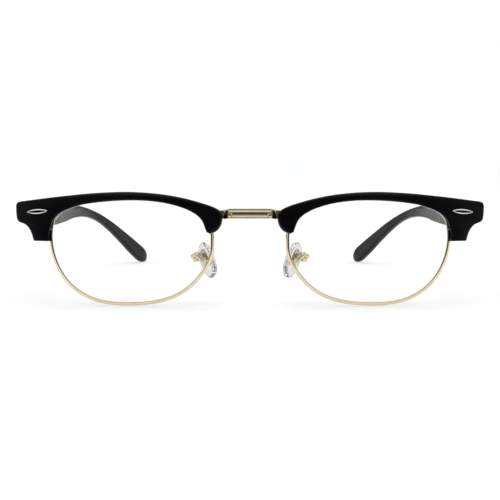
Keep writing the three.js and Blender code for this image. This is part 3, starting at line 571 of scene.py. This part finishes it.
def rim_share(part):
    """The curve's share at part (0 to 1) of the rim's length."""
    place = (part % 1) * 720
    i = int(place)
    return RIM_SHARES[i] + (RIM_SHARES[i + 1] - RIM_SHARES[i]) * (place - i)


def beside_rim(part, r, dy, own=False):
    """A point beside the rim's inner edge: r outwards, dy behind the front curve at the wire's
    middle, or at the point's own place."""
    t = rim_share(part)
    p = spline(RIM_OUTLINE, t, closed=True)
    step = 0.001
    tangent = spline(RIM_OUTLINE, (t + step) % 1, True) - spline(RIM_OUTLINE, (t - step) % 1, True)
    out = Vector((tangent.y, -tangent.x)).normalized()
    if out.dot(p) < 0:
        out = -out
    middle = p + out * (r if own else RIM_THICK / 2)
    p = p + out * r
    return Vector((LENS_X + p.x, sag(middle.x, middle.y) + dy, p.y))


def split_part():
    """The part of the rim's length at which its outer side passes the height of the split."""
    outer = [k / 720 for k in range(360)]
    heights = {part: spline(RIM_OUTLINE, rim_share(part), True) for part in outer}
    return min((p for p in outer if heights[p].x > 0), key=lambda p: abs(heights[p].y - SPLIT_Z))


SPLIT = split_part()


def ring_round_rim(section, steps=200):
    """A ring swept round the eyewire's path, with no split."""
    return skin([[beside_rim(i / steps, r, dy) for r, dy in section] for i in range(steps)], True)


# ------------------------------------------------------------------ front pieces

# The domed front of the eyewire: out from the lens, behind the wire's foremost point.
RIM_FACE = [
    (0, 0.06), (0.03, 0.02), (0.09, 0), (0.2, 0.006), (0.32, 0.03), (0.45, 0.075), (0.58, 0.14),
    (0.7, 0.215), (0.81, 0.31), (0.91, 0.43), (0.99, 0.57), (1.04, 0.73),
]


def eyewire():
    half = RIM_DEPTH / 2
    face = [(r, y - half) for r, y in RIM_FACE]
    section = [Vector(p) for p in face] + rounded([
        (RIM_THICK + 0.03, 0, 1.2), (RIM_THICK, half, 0.5), (0, half, 0.12),
        (0, RIM_GROOVE_HALF, 0.05), (RIM_GROOVE, 0, 0.1), (0, -RIM_GROOVE_HALF, 0.05),
    ])
    steps = 260
    gap = RIM_GAP / 2 / RIM_LENGTH
    parts = [SPLIT + gap + (1 - 2 * gap) * i / steps for i in range(steps + 1)]
    return skin([[beside_rim(part, p.x, p.y) for p in section] for part in parts])


def lens():
    """Rings from the middle of the front, round the bevelled edge, to the middle of the back."""
    sides = 144
    bevel_half = RIM_GROOVE_HALF - LENS_FIT * 1.6
    apex = RIM_GROOVE - LENS_FIT * 1.6
    edge = [beside_rim(i / sides, -LENS_FIT, 0, own=True) for i in range(sides)]

    def face_ring(scale, dy):
        ring = []
        for p in edge:
            u, z = (p.x - LENS_X) * scale, p.z * scale
            ring.append(Vector((LENS_X + u, sag(u, z) + dy, z)))
        return ring

    def edge_ring(r, dy):
        return [beside_rim(i / sides, r, dy) for i in range(sides)]

    shares = [0.04, 0.2, 0.36, 0.52, 0.66, 0.78, 0.88, 0.95]
    rings = [face_ring(share, LENS_FRONT) for share in shares]
    rings += [
        face_ring(1, LENS_FRONT), edge_ring(-LENS_FIT, -bevel_half), edge_ring(apex, 0),
        edge_ring(-LENS_FIT, bevel_half), face_ring(1, LENS_BACK),
    ]
    rings += [face_ring(share, LENS_BACK) for share in reversed(shares)]
    return skin(rings)


BROW_LOWER = [(x, z) for x, z, _, _ in BROW_RIBS]
BROW_OUTER = [(x, z) for _, _, x, z in BROW_RIBS]


def brow_section(t):
    """One rib: round towards the top, crowned in front, square behind."""
    lower = spline(BROW_LOWER, t)
    outer = spline(BROW_OUTER, t)
    width = (outer - lower).length
    back = BROW_BACK + (BROW_BACK_END - BROW_BACK) * ramp(lower.x, 48, 57)
    most = width * 0.46
    outline = rounded([
        (0, -BROW_FRONT, min(0.55, most)), (width, -BROW_FRONT, min(0.95, most)),
        (width, back, min(0.45, most)), (0, back, min(0.35, most)),
    ], segments=7)
    section = []
    for p in outline:
        share = min(max(p.x / width, 0), 1)
        q = lower.lerp(outer, share)
        crown = BROW_CROWN * math.sin(math.pi * (1 - (1 - share) ** 2)) if p.y < 0 else 0
        section.append(Vector((q.x, sag_at(q.x, q.y) + p.y - crown, q.y)))
    return section


def drawn_in(start, step, distance):
    """The share, from an end of the brow, at which a rib's middle lies so far inside that end."""

    def middle(t):
        return (spline(BROW_LOWER, t) + spline(BROW_OUTER, t)) / 2

    end = middle(start)
    t = start
    while (middle(t) - end).length < distance:
        t += step
    return t


def brow():
    steps = 170
    least = 0.002
    first = drawn_in(0, 0.0005, BROW_CURL)
    last = drawn_in(1, -0.0005, BROW_CURL)
    shares, _ = even_shares(BROW_OUTER, steps)
    kept = [first] + [t for t in shares if first + least < t < last - least] + [last]
    face = skin(with_round_ends([brow_section(t) for t in kept], BROW_CURL, steps=5))
    body = slab(rounded(END_BLOCK, 4), 6, BUTT_Y, along_y, bevel=0.25)
    channel = ring_round_rim([
        (-1.5, -RIM_DEPTH / 2 - FIT), (RIM_THICK + FIT, -RIM_DEPTH / 2 - FIT),
        (RIM_THICK + FIT, 9), (-1.5, 9),
    ])
    _, arm_y, arm_z, arm_height, arm_thick = BRIDGE_ARM[-1]
    high = BLOCK["high"] + FIT
    whole = carve(face, [body], "UNION")
    return carve(whole, [
        channel,
        block(50, BUTT_INNER, HINGE_SEAT_Y, BEYOND, 5, 20),
        block(6, 18, arm_y - arm_thick / 2 - FIT, BEYOND,
              arm_z - arm_height / 2 - FIT, arm_z + arm_height / 2 + FIT),
        block(BROW_HOLLOW_INNER, BLOCK["x1"] + 2 * FIT, BLOCK["y0"] - FIT, BEYOND,
              BLOCK["low"] - 1.2, high),
        block(BLOCK["x1"] - 1, TAB["x1"] + FIT, TAB["y0"] - FIT, BEYOND, TAB["z0"] - FIT, high),
        block(LUG["x0"] - FIT, LUG["x1"] + 1, LUG["y0"] - FIT, BEYOND,
              LUG["z0"] - FIT, LUG["z1"] + FIT),
    ])


def almond(length, width, steps=22):
    """The outline of a rivet plate: pointed at both ends."""
    half = length / 2
    outline = []
    for side in (1, -1):
        for i in range(steps):
            a = side * (-half + length * i / steps)
            share = min(abs(a) / half, 1)
            outline.append(Vector((a, side * width / 2 * math.cos(share * math.pi / 2) ** 0.66)))
    return outline


def rivet_plate():
    """A domed almond with a dark slit along its middle: outer side at y = 0, looking along -y."""
    rings = [
        (1, 1, 0.9), (1, 1, 0.2), (0.992, 0.93, 0.1), (0.978, 0.82, 0.03), (0.96, 0.7, 0),
        (0.935, 0.56, 0.03), (0.915, 0.48, 0.1), (0.9, 0.42, 0.3),
    ]
    outline = almond(RIVET_LENGTH, RIVET_WIDTH)
    return skin([[Vector((p.x * a, y, p.y * b)) for p in outline] for a, b, y in rings])


def darken_slit(made):
    """Paints the floor of a rivet's slit with the piece's second material."""
    slit = max(made.data.polygons, key=lambda f: len(f.vertices) * 10 + f.area)
    floors = [f for f in made.data.polygons if len(f.vertices) == len(slit.vertices)]
    min(floors, key=lambda f: f.area).material_index = 1


def rivets():
    x, z = BROW_RIVET
    half = RIVET_LENGTH / 2
    front = sag_at(x, z) - BROW_FRONT
    turn = math.atan2(sag_at(x + half, z) - sag_at(x - half, z), RIVET_LENGTH)
    place = (Matrix.Translation((x, front - RIVET_SUNK, z)) @ Matrix.Rotation(turn, 4, "Z")
             @ Matrix.Rotation(-RIVET_SLOPE, 4, "Y"))
    for side, matrix in SIDES.items():
        made = show(rivet_plate(), f"brow_rivet_{side}", "front", "silver", matrix @ place,
                    second="brow")
        darken_slit(made)
    y, z = TEMPLE_RIVET
    outer = TEMPLE_STATIONS[0][0] + TEMPLE_STATIONS[0][4] / 2
    place = Matrix.Translation((outer + 0.4, y, z)) @ Matrix.Rotation(math.pi / 2, 4, "Z")
    for side, matrix in SIDES.items():
        made = show(rivet_plate(), f"temple_rivet_{side}", f"temple_{side}_arm", "silver",
                    matrix @ place, second="temple")
        darken_slit(made)


def screw(shank, length, head, height, slot_turn):
    """A slotted screw standing on z = 0: its domed head above, its shank below."""
    profile = [
        (0.04, -length), (shank * 0.7, -length), (shank, -length + shank * 0.4), (shank, 0),
        (head * 0.94, 0), (head, height * 0.12), (head, height * 0.62),
        (head * 0.96, height * 0.82), (head * 0.86, height * 0.95), (head * 0.5, height),
        (0.04, height * 1.02),
    ]
    body = skin([[Vector((p.x, p.y, h)) for p in circle(r, 40)] for r, h in profile])
    slot = moved(block(-3 * head, 3 * head, -head * 0.14, head * 0.14, height * 0.5, height * 2),
                 Matrix.Rotation(slot_turn, 4, "Z"))
    return carve(body, [slot])


def closing_blocks():
    """Two little blocks behind the brow's leg, drawn together by the rim-lock screw."""
    x1, y0, y1 = BLOCK["x1"], BLOCK["y0"], BLOCK["y1"]
    top = SPLIT_Z - SPLIT_GAP / 2
    bottom = SPLIT_Z + SPLIT_GAP / 2
    inner = BLOCK_INNER
    lower = slab(rounded([(inner["low"], BLOCK["low"], 0.3), (x1, BLOCK["low"], 0.4), (x1, top, 0.1),
                          (inner["split"], top, 0.1)]), y0, y1, along_y, 0.15)
    show_both(lower, "closing_block_lower", "front", "gold")
    upper = slab(rounded([(inner["split"], bottom, 0.1), (x1, bottom, 0.1), (x1, BLOCK["high"], 0.4),
                          (inner["high"], BLOCK["high"], 0.3)]), y0, TAB["y1"], along_y, 0.15)
    tab = slab(rounded([(x1 - 0.5, TAB["z0"], 0.1), (TAB["x1"], TAB["z0"], 0.6),
                        (TAB["x1"], BLOCK["high"], 0.6), (x1 - 0.5, BLOCK["high"], 0.1)]),
               TAB["y0"], TAB["y1"], along_y, 0.1)
    show_both(merged(upper, tab), "closing_block_upper", "front", "gold")
    x, y = BLOCK["screw"]
    lock = screw(0.5, BLOCK["high"] - BLOCK["low"] - 0.3, SMALL_HEAD, 0.5, 0.9)
    under = Matrix.Translation((x, y, BLOCK["low"])) @ Matrix.Rotation(math.pi, 4, "X")
    show_both(moved(lock, under), "rim_lock_screw", "front", "steel")


def brow_fixings():
    """The lug on the eyewire's nasal side, and the two screws that hold the brow."""
    lug = slab(rounded([(LUG["x0"], LUG["z0"], 0.7), (LUG["x1"], LUG["z0"], 0.2),
                        (LUG["x1"], LUG["z1"], 0.2), (LUG["x0"], LUG["z1"], 0.7)]),
               LUG["y0"], LUG["y1"], along_y, 0.12)
    show_both(lug, "nasal_lug", "front", "gold")
    for name, spot, length in (("temporal", TAB, 2.7), ("nasal", LUG, 2.8)):
        x, z = spot["screw"]
        made = screw(0.5, length, SMALL_HEAD, 0.5, 0.5)
        back = Matrix.Translation((x, spot["y1"], z)) @ Matrix.Rotation(-math.pi / 2, 4, "X")
        show_both(moved(made, back), f"brow_screw_{name}", "front", "steel")


def bridge():
    """A flat bar, sunk along its face, whose notched ends step back to the eyewires."""
    face = BAR_Y - BAR_THICK / 2

    def bar_section(x, sunk):
        """The bar's section, its hollow filled nearly to the face where it isn't sunk."""
        deepest = 0.62 if sunk else 0.12
        return [Vector((x, face + (min(y, deepest) if abs(z) < 0.9 else y), BAR_Z + z))
                for y, z in BAR_SECTION]

    hollow = [(0, True), (5.1, True), (5.25, True), (5.5, False), (5.6, False), (BAR_END, False)]
    rows = [(-x, sunk) for x, sunk in reversed(hollow[1:])] + hollow
    bar = skin([bar_section(x, sunk) for x, sunk in rows])

    def notch(side, y, wider):
        """An arrowhead that points at the bar's middle."""
        corners = [(5.75 - 1.4 * wider, -0.1), (6.5, 0.85 + wider), (7.4, 0.85 + wider),
                   (7.4, -1 - wider), (6.5, -1 - wider)]
        return [along_y(side * x, BAR_Z + z, y) for x, z in corners]

    notches = [skin([notch(side, face + y, wider) for y, wider in (
        (-0.3, 0.55), (0.05, 0.2), (0.25, 0), (1.2, 0))]) for side in (1, -1)]
    bar = carve(bar, notches)

    xyz = [(x, y, z) for x, y, z, _, _ in BRIDGE_ARM]
    sizes = [(height, thick, 0) for _, _, _, height, thick in BRIDGE_ARM]
    steps = 90
    arms = []
    for side in (1, -1):
        sections = []
        for i in range(steps + 1):
            centre = spline(xyz, i / steps)
            height, thick, _ = spline(sizes, i / steps)
            outline = rounded([
                (-thick / 2, -height / 2, 0.4), (thick / 2, -height / 2, 0.35),
                (thick / 2, height / 2, 0.35), (-thick / 2, height / 2, 0.4),
            ], segments=10)
            sections.append([Vector((side * centre.x, centre.y + p.x, centre.z + p.y))
                             for p in outline])
        arms.append(skin(sections))
    cope = ring_round_rim([(-3, -5), (RIM_THICK + 0.05, -5), (RIM_THICK + 0.05, 8), (-3, 8)])
    other = moved(cope.copy(), MIRROR)
    other.flip_normals()
    whole = carve(carve(bar, arms, "UNION"), [cope, other])
    show(whole, "bridge", "front", "gold", TO_ROW, sharp=12)


# ------------------------------------------------------------------ hinges


def hinges():
    x, y, z = PIVOT
    low, top = z - HINGE_HALF, z + HINGE_HALF
    seat = HINGE_SEAT_Y + 0.08
    front_leaf = slab(rounded([(FRONT_LEAF_INNER, low, 0.9), (BUTT_INNER - 0.2, low, 0.3),
                               (BUTT_INNER - 0.2, top, 0.3), (FRONT_LEAF_INNER, top, 0.9)]),
                      seat, seat + LEAF_THICK, along_y, 0.15)
    arch = circle(KNUCKLE_RADIUS, 24, (x, y), 0, math.pi * 24 / 23)
    arch += [Vector((x - KNUCKLE_RADIUS, seat + 0.4)), Vector((x + KNUCKLE_RADIUS, seat + 0.4))]
    middle_low, middle_top = z - KNUCKLE_HALF, z + KNUCKLE_HALF
    pieces = [slab(arch, a, b, along_z, 0.12)
              for a, b in ((low, middle_low - KNUCKLE_GAP), (middle_top + KNUCKLE_GAP, top))]
    show_both(merged(front_leaf, *pieces), "hinge_front", "front", "gold")

    inner, outer = TEMPLE_LEAF["x"], TEMPLE_LEAF["x"] + LEAF_THICK
    near, far = TEMPLE_LEAF["y0"], TEMPLE_LEAF["y1"]
    leaf = slab(rounded([(near, low, 0.3), (far, low, 0.9), (far, top, 0.9), (near, top, 0.3)]),
                inner, outer, along_x, 0.15)
    eye = circle(KNUCKLE_RADIUS, 36, (x, y))
    arm = rounded([(x - 0.6, y, 0.1), (outer, y, 0.4), (outer, TEMPLE_LEAF["arm"], 0.1),
                   (inner, TEMPLE_LEAF["arm"], 0.1), (x - 0.6, 15.4, 0.6)])
    pieces = [slab(shape, middle_low, middle_top, along_z, 0.12) for shape in (eye, arm)]
    show_both(merged(leaf, *pieces), "hinge_temple", "temple_{side}_arm", "gold")

    pin = screw(PIN_RADIUS, 2 * HINGE_HALF + 0.2, PIN_HEAD, 0.5, 0.35)
    show_both(moved(pin, Matrix.Translation((x, y, top + 0.05))), "hinge_screw", "front", "steel")


# ------------------------------------------------------------------ temples


def temple():
    """A flat arm with rounded edges that slims behind the ear and ends in a broad round tip."""
    xyz = [(x, y, z) for x, y, z, _, _ in TEMPLE_STATIONS]
    sizes = [(height, thick, 0) for _, _, _, height, thick in TEMPLE_STATIONS]
    step = 0.002

    def section(centre, t, height, thick):
        along = (spline(xyz, min(t + step, 1)) - spline(xyz, max(t - step, 0))).normalized()
        up = Vector((0, 0, 1))
        up = (up - along * up.dot(along)).normalized()
        out = along.cross(up).normalized()
        corner = min(1.05, height * 0.3, thick * 0.36)
        outline = rounded([
            (-thick / 2, -height / 2, corner), (thick / 2, -height / 2, corner),
            (thick / 2, height / 2, corner), (-thick / 2, height / 2, corner),
        ])
        points = []
        for p in outline:
            crown = 0.07 * math.cos(math.pi * p.y / height) * (1 if p.x > 0 else -1)
            points.append(centre + out * (p.x - crown) + up * p.y)
        return points

    shares, _ = even_shares(xyz, 150)
    sections = []
    for t in shares:
        height, thick, _ = spline(sizes, t)
        sections.append(section(spline(xyz, t), t, height, thick))
    butt = with_round_ends(sections[1:], BUTT_CURL, steps=4, ends=(True, False))
    start = spline(xyz, 1)
    height, thick, _ = sizes[-1]
    tip = []
    rounds = 14
    for k in range(1, rounds + 1):
        share = math.sin(math.pi / 2 * k / rounds * 0.985)
        shrink = math.sqrt(1 - share * share)
        tip.append(section(start.lerp(TEMPLE_TIP, share), 1, height * shrink,
                           thick * (0.3 + 0.7 * shrink ** 0.7)))
    return skin(butt + tip)


# ------------------------------------------------------------------ nose pads


def pad_frame():
    """The pad's own frame at the middle of its screw: x along the screw, y up the pad, z out of
    its back."""
    length = PAD_UP.normalized()
    out = (PAD_OUT - length * PAD_OUT.dot(length)).normalized()
    width = length.cross(out)
    origin = PAD_CENTRE + out * PAD_AXIS + length * STUD_UP
    matrix = Matrix((width, length, out)).transposed().to_4x4()
    return Matrix.Translation(origin) @ matrix


PAD_FRAME = pad_frame()


def oval(length, width, dz, up=0.0, sides=56, power=2.3):
    """An oval across the pad, at depth dz behind the pad's middle."""
    ring = []
    for k in range(sides):
        c, s = math.cos(2 * math.pi * k / sides), math.sin(2 * math.pi * k / sides)
        across = width / 2 * math.copysign(abs(c) ** (2 / power), c)
        along = length / 2 * math.copysign(abs(s) ** (2 / power), s)
        ring.append(Vector((across, along + up - STUD_UP, dz - PAD_AXIS)))
    return ring


def nose_pad():
    """A clear drop with a softly domed face and a flatter back."""
    half = PAD_THICK / 2
    rings = []
    steps = 9
    for k in range(steps + 1):
        a = math.pi / 2 * (1 - k / steps)
        inwards = math.cos(a) ** 0.8
        rings.append((0.1 + 0.9 * inwards, -half * math.sin(a)))
    rings += [(1, 0.2 * half), (0.985, 0.45 * half), (0.95, 0.68 * half), (0.89, 0.84 * half),
              (0.8, 0.93 * half), (0.6, 0.98 * half), (0.3, half)]
    return skin([oval(PAD_LENGTH * s, PAD_WIDTH * s, dz) for s, dz in rings])


def pad_plate():
    """The metal plate moulded into the pad's back, its neck, and the eye the screw passes."""
    back = PAD_THICK / 2 - 0.08
    plate = skin([oval(PLATE_LENGTH * s, PLATE_WIDTH * s, dz, INSERT_UP) for s, dz in (
        (0.9, back - 0.5), (0.98, back - 0.44), (1, back - 0.36), (1, back - 0.12),
        (0.97, back - 0.04), (0.9, back))])
    neck = slab(rounded([(-NECK_HALF, -EYE_HALF, 0.2), (NECK_HALF, -EYE_HALF, 0.2),
                         (NECK_HALF, EYE_HALF, 0.2), (-NECK_HALF, EYE_HALF, 0.2)]),
                back - 0.3 - PAD_AXIS, 0, along_z, 0.05)
    eye = slab(circle(EYE_RADIUS, 32), -EYE_HALF, EYE_HALF, along_x, 0.1)
    return merged(plate, neck, eye)


def pad_box():
    """The little box on the pad arm: two cheeks beside the eye and a back that joins them."""
    outline = rounded([
        (-BOX_HALF, -0.65, 0.25), (-BOX_INNER, -0.65, 0.1), (-BOX_INNER, 0.9, 0.1),
        (BOX_INNER, 0.9, 0.1), (BOX_INNER, -0.65, 0.1), (BOX_HALF, -0.65, 0.25),
        (BOX_HALF, 1.35, 0.4), (-BOX_HALF, 1.35, 0.4),
    ], 4)
    return slab(outline, -1.05, 1.05, along_y, 0.14)


def pad_arm():
    """The bent wire from a small foot on the eyewire's back to the pad's box."""
    waypoints = [Vector(ARM_ROOT), Vector((12.25, 3.3, -3.75)), Vector((13.7, 4.5, -3.6))]
    waypoints += [PAD_FRAME @ Vector(p) for p in (
        (-2.1, -0.5, 1.9), (-0.7, 0, 2.35), (0, 0, 1.95), (0, 0, 1.4))]
    steps = 90
    sides = 20
    sections = []
    side = Vector((0, 0, 1))
    for i in range(steps + 1):
        t = i / steps
        along = spline(waypoints, min(t + 0.004, 1)) - spline(waypoints, max(t - 0.004, 0))
        along.normalize()
        side = (side - along * side.dot(along)).normalized()
        other = along.cross(side)
        radius = ARM_RADIUS * (1 + 0.45 * (1 - ramp(t, 0, 0.07)))
        sections.append([spline(waypoints, t) + side * p.x + other * p.y
                         for p in circle(radius, sides)])
    return skin(sections)


def nose_pads():
    show_both(pad_arm(), "pad_arm", "front", "gold")
    show_both(moved(pad_box(), PAD_FRAME), "pad_box", "front", "gold")
    made = screw(0.38, 2.7, 0.7, 0.42, 0.6)
    across = PAD_FRAME @ Matrix.Translation((-1.4, 0, 0)) @ Matrix.Rotation(-math.pi / 2, 4, "Y")
    show_both(moved(made, across), "pad_screw", "front", "steel")
    show_both(moved(pad_plate(), PAD_FRAME), "pad_plate", "nose_pad_{side}_body", "gold")
    show_both(moved(nose_pad(), PAD_FRAME), "nose_pad", "nose_pad_{side}_body", "pad", sharp=60)


# ------------------------------------------------------------------ putting it together

show_both(eyewire(), "eyewire", "front", "gold")
show_both(lens(), "lens", "front", "lens")
show_both(brow(), "brow", "front", "brow", sharp=32)
show_both(temple(), "temple", "temple_{side}_arm", "temple", sharp=50)
closing_blocks()
brow_fixings()
rivets()
bridge()
hinges()
nose_pads()
for side in SIDES:
    core = frame["nodes"][f"temple_core_{side}"]
    core.data.materials.clear()
    core.data.materials.append(MATERIALS["steel"])

# ------------------------------------------------------------------ studio


def floor():
    """A wide pale table, faintly lit from within so that it stays white."""
    mesh = bpy.data.meshes.new("table")
    bm = bmesh.new()
    bmesh.ops.create_circle(bm, cap_ends=True, segments=96, radius=3.0)
    bm.to_mesh(mesh)
    bm.free()
    n = Nodes("pale_table")
    tone = n.blend(n.noise(0.01, 2), (0.60, 0.60, 0.60), (0.62, 0.62, 0.62))
    mesh.materials.append(n.finish(**{"Base Color": tone, "Roughness": 0.9,
                                      "Specular IOR Level": 0.1,
                                      "Emission Color": (1, 1, 1, 1), "Emission Strength": 0.5}))
    table = bpy.data.objects.new("table", mesh)
    table.location.z = -0.0002
    bpy.context.scene.collection.objects.link(table)


def sky():
    """Plain white behind the glasses; as a light, bright overhead and at the sides, dim in front."""
    world = bpy.data.worlds.new("studio")
    bpy.context.scene.world = world
    world.use_nodes = True
    tree = world.node_tree
    tree.nodes.clear()

    def add(kind, inputs=None, **settings):
        node = tree.nodes.new(kind)
        for key, value in settings.items():
            setattr(node, key, value)
        for key, value in (inputs or {}).items():
            if isinstance(value, bpy.types.NodeSocket):
                tree.links.new(value, node.inputs[key])
            else:
                node.inputs[key].default_value = value
        return node

    split = add("ShaderNodeSeparateXYZ", {0: add("ShaderNodeTexCoord").outputs["Generated"]})
    def span(axis, low, high, dark, bright):
        """A smooth step in brightness over part of one axis of the light's direction."""
        node = add("ShaderNodeMapRange", {
            "Value": split.outputs[axis], "From Min": low, "From Max": high,
            "To Min": dark, "To Max": bright}, interpolation_type="SMOOTHSTEP")
        return node.outputs[0]

    def combined(operation, a, b):
        return add("ShaderNodeMath", {0: a, 1: b}, operation=operation).outputs[0]

    overhead = span("Z", 0.35, 0.8, 0.0, 1.0)
    around = combined("MULTIPLY", span("Y", -0.8, -0.45, 0.07, 0.8), span("Y", 0.6, 0.92, 1.0, 0.5))
    glow = combined("MAXIMUM", overhead, around)
    path = add("ShaderNodeLightPath")
    straight = combined("MULTIPLY", path.outputs["Is Transmission Ray"],
                        span("Y", 0.88, 0.96, 0.0, 1.0))
    seen = combined("MAXIMUM", path.outputs["Is Camera Ray"], straight)
    light = add("ShaderNodeBackground", {"Color": (0.98, 0.99, 1.0, 1), "Strength": glow})
    plain = add("ShaderNodeBackground", {"Color": (1, 1, 1, 1), "Strength": 1.0})
    mix = add("ShaderNodeMixShader", {0: seen, 1: light.outputs[0], 2: plain.outputs[0]})
    add("ShaderNodeOutputWorld", {"Surface": mix.outputs[0]})


def softbox(name, place, size, watts):
    """A large soft lamp that looks at the middle of the glasses."""
    lamp = bpy.data.lights.new(name, "AREA")
    lamp.shape = "RECTANGLE"
    lamp.size, lamp.size_y = size
    lamp.energy = watts
    made = bpy.data.objects.new(name, lamp)
    made.location = place
    made.rotation_euler = (Vector((0, 0, 0.02)) - Vector(place)).to_track_quat("-Z", "Y").to_euler()
    made.visible_camera = False
    bpy.context.scene.collection.objects.link(made)


def camera():
    lens_mm = 93.02
    data = bpy.data.cameras.new("camera")
    data.lens = lens_mm
    data.sensor_width = 36
    data.clip_start = 0.005
    made = bpy.data.objects.new("camera", data)
    bpy.context.scene.collection.objects.link(made)
    eye = TO_ROW @ Vector((0, -380, 0))
    ahead = Matrix.Rotation(-LEAN, 4, "X") @ Matrix.Rotation(math.pi / 2, 4, "X")
    made.matrix_world = Matrix.Translation(eye) @ ahead
    bpy.context.scene.camera = made


floor()
sky()
softbox("top_softbox", (0.0, 0.15, 1.1), (0.8, 0.8), 2)
camera()
bpy.context.scene.view_settings.view_transform = "Standard"
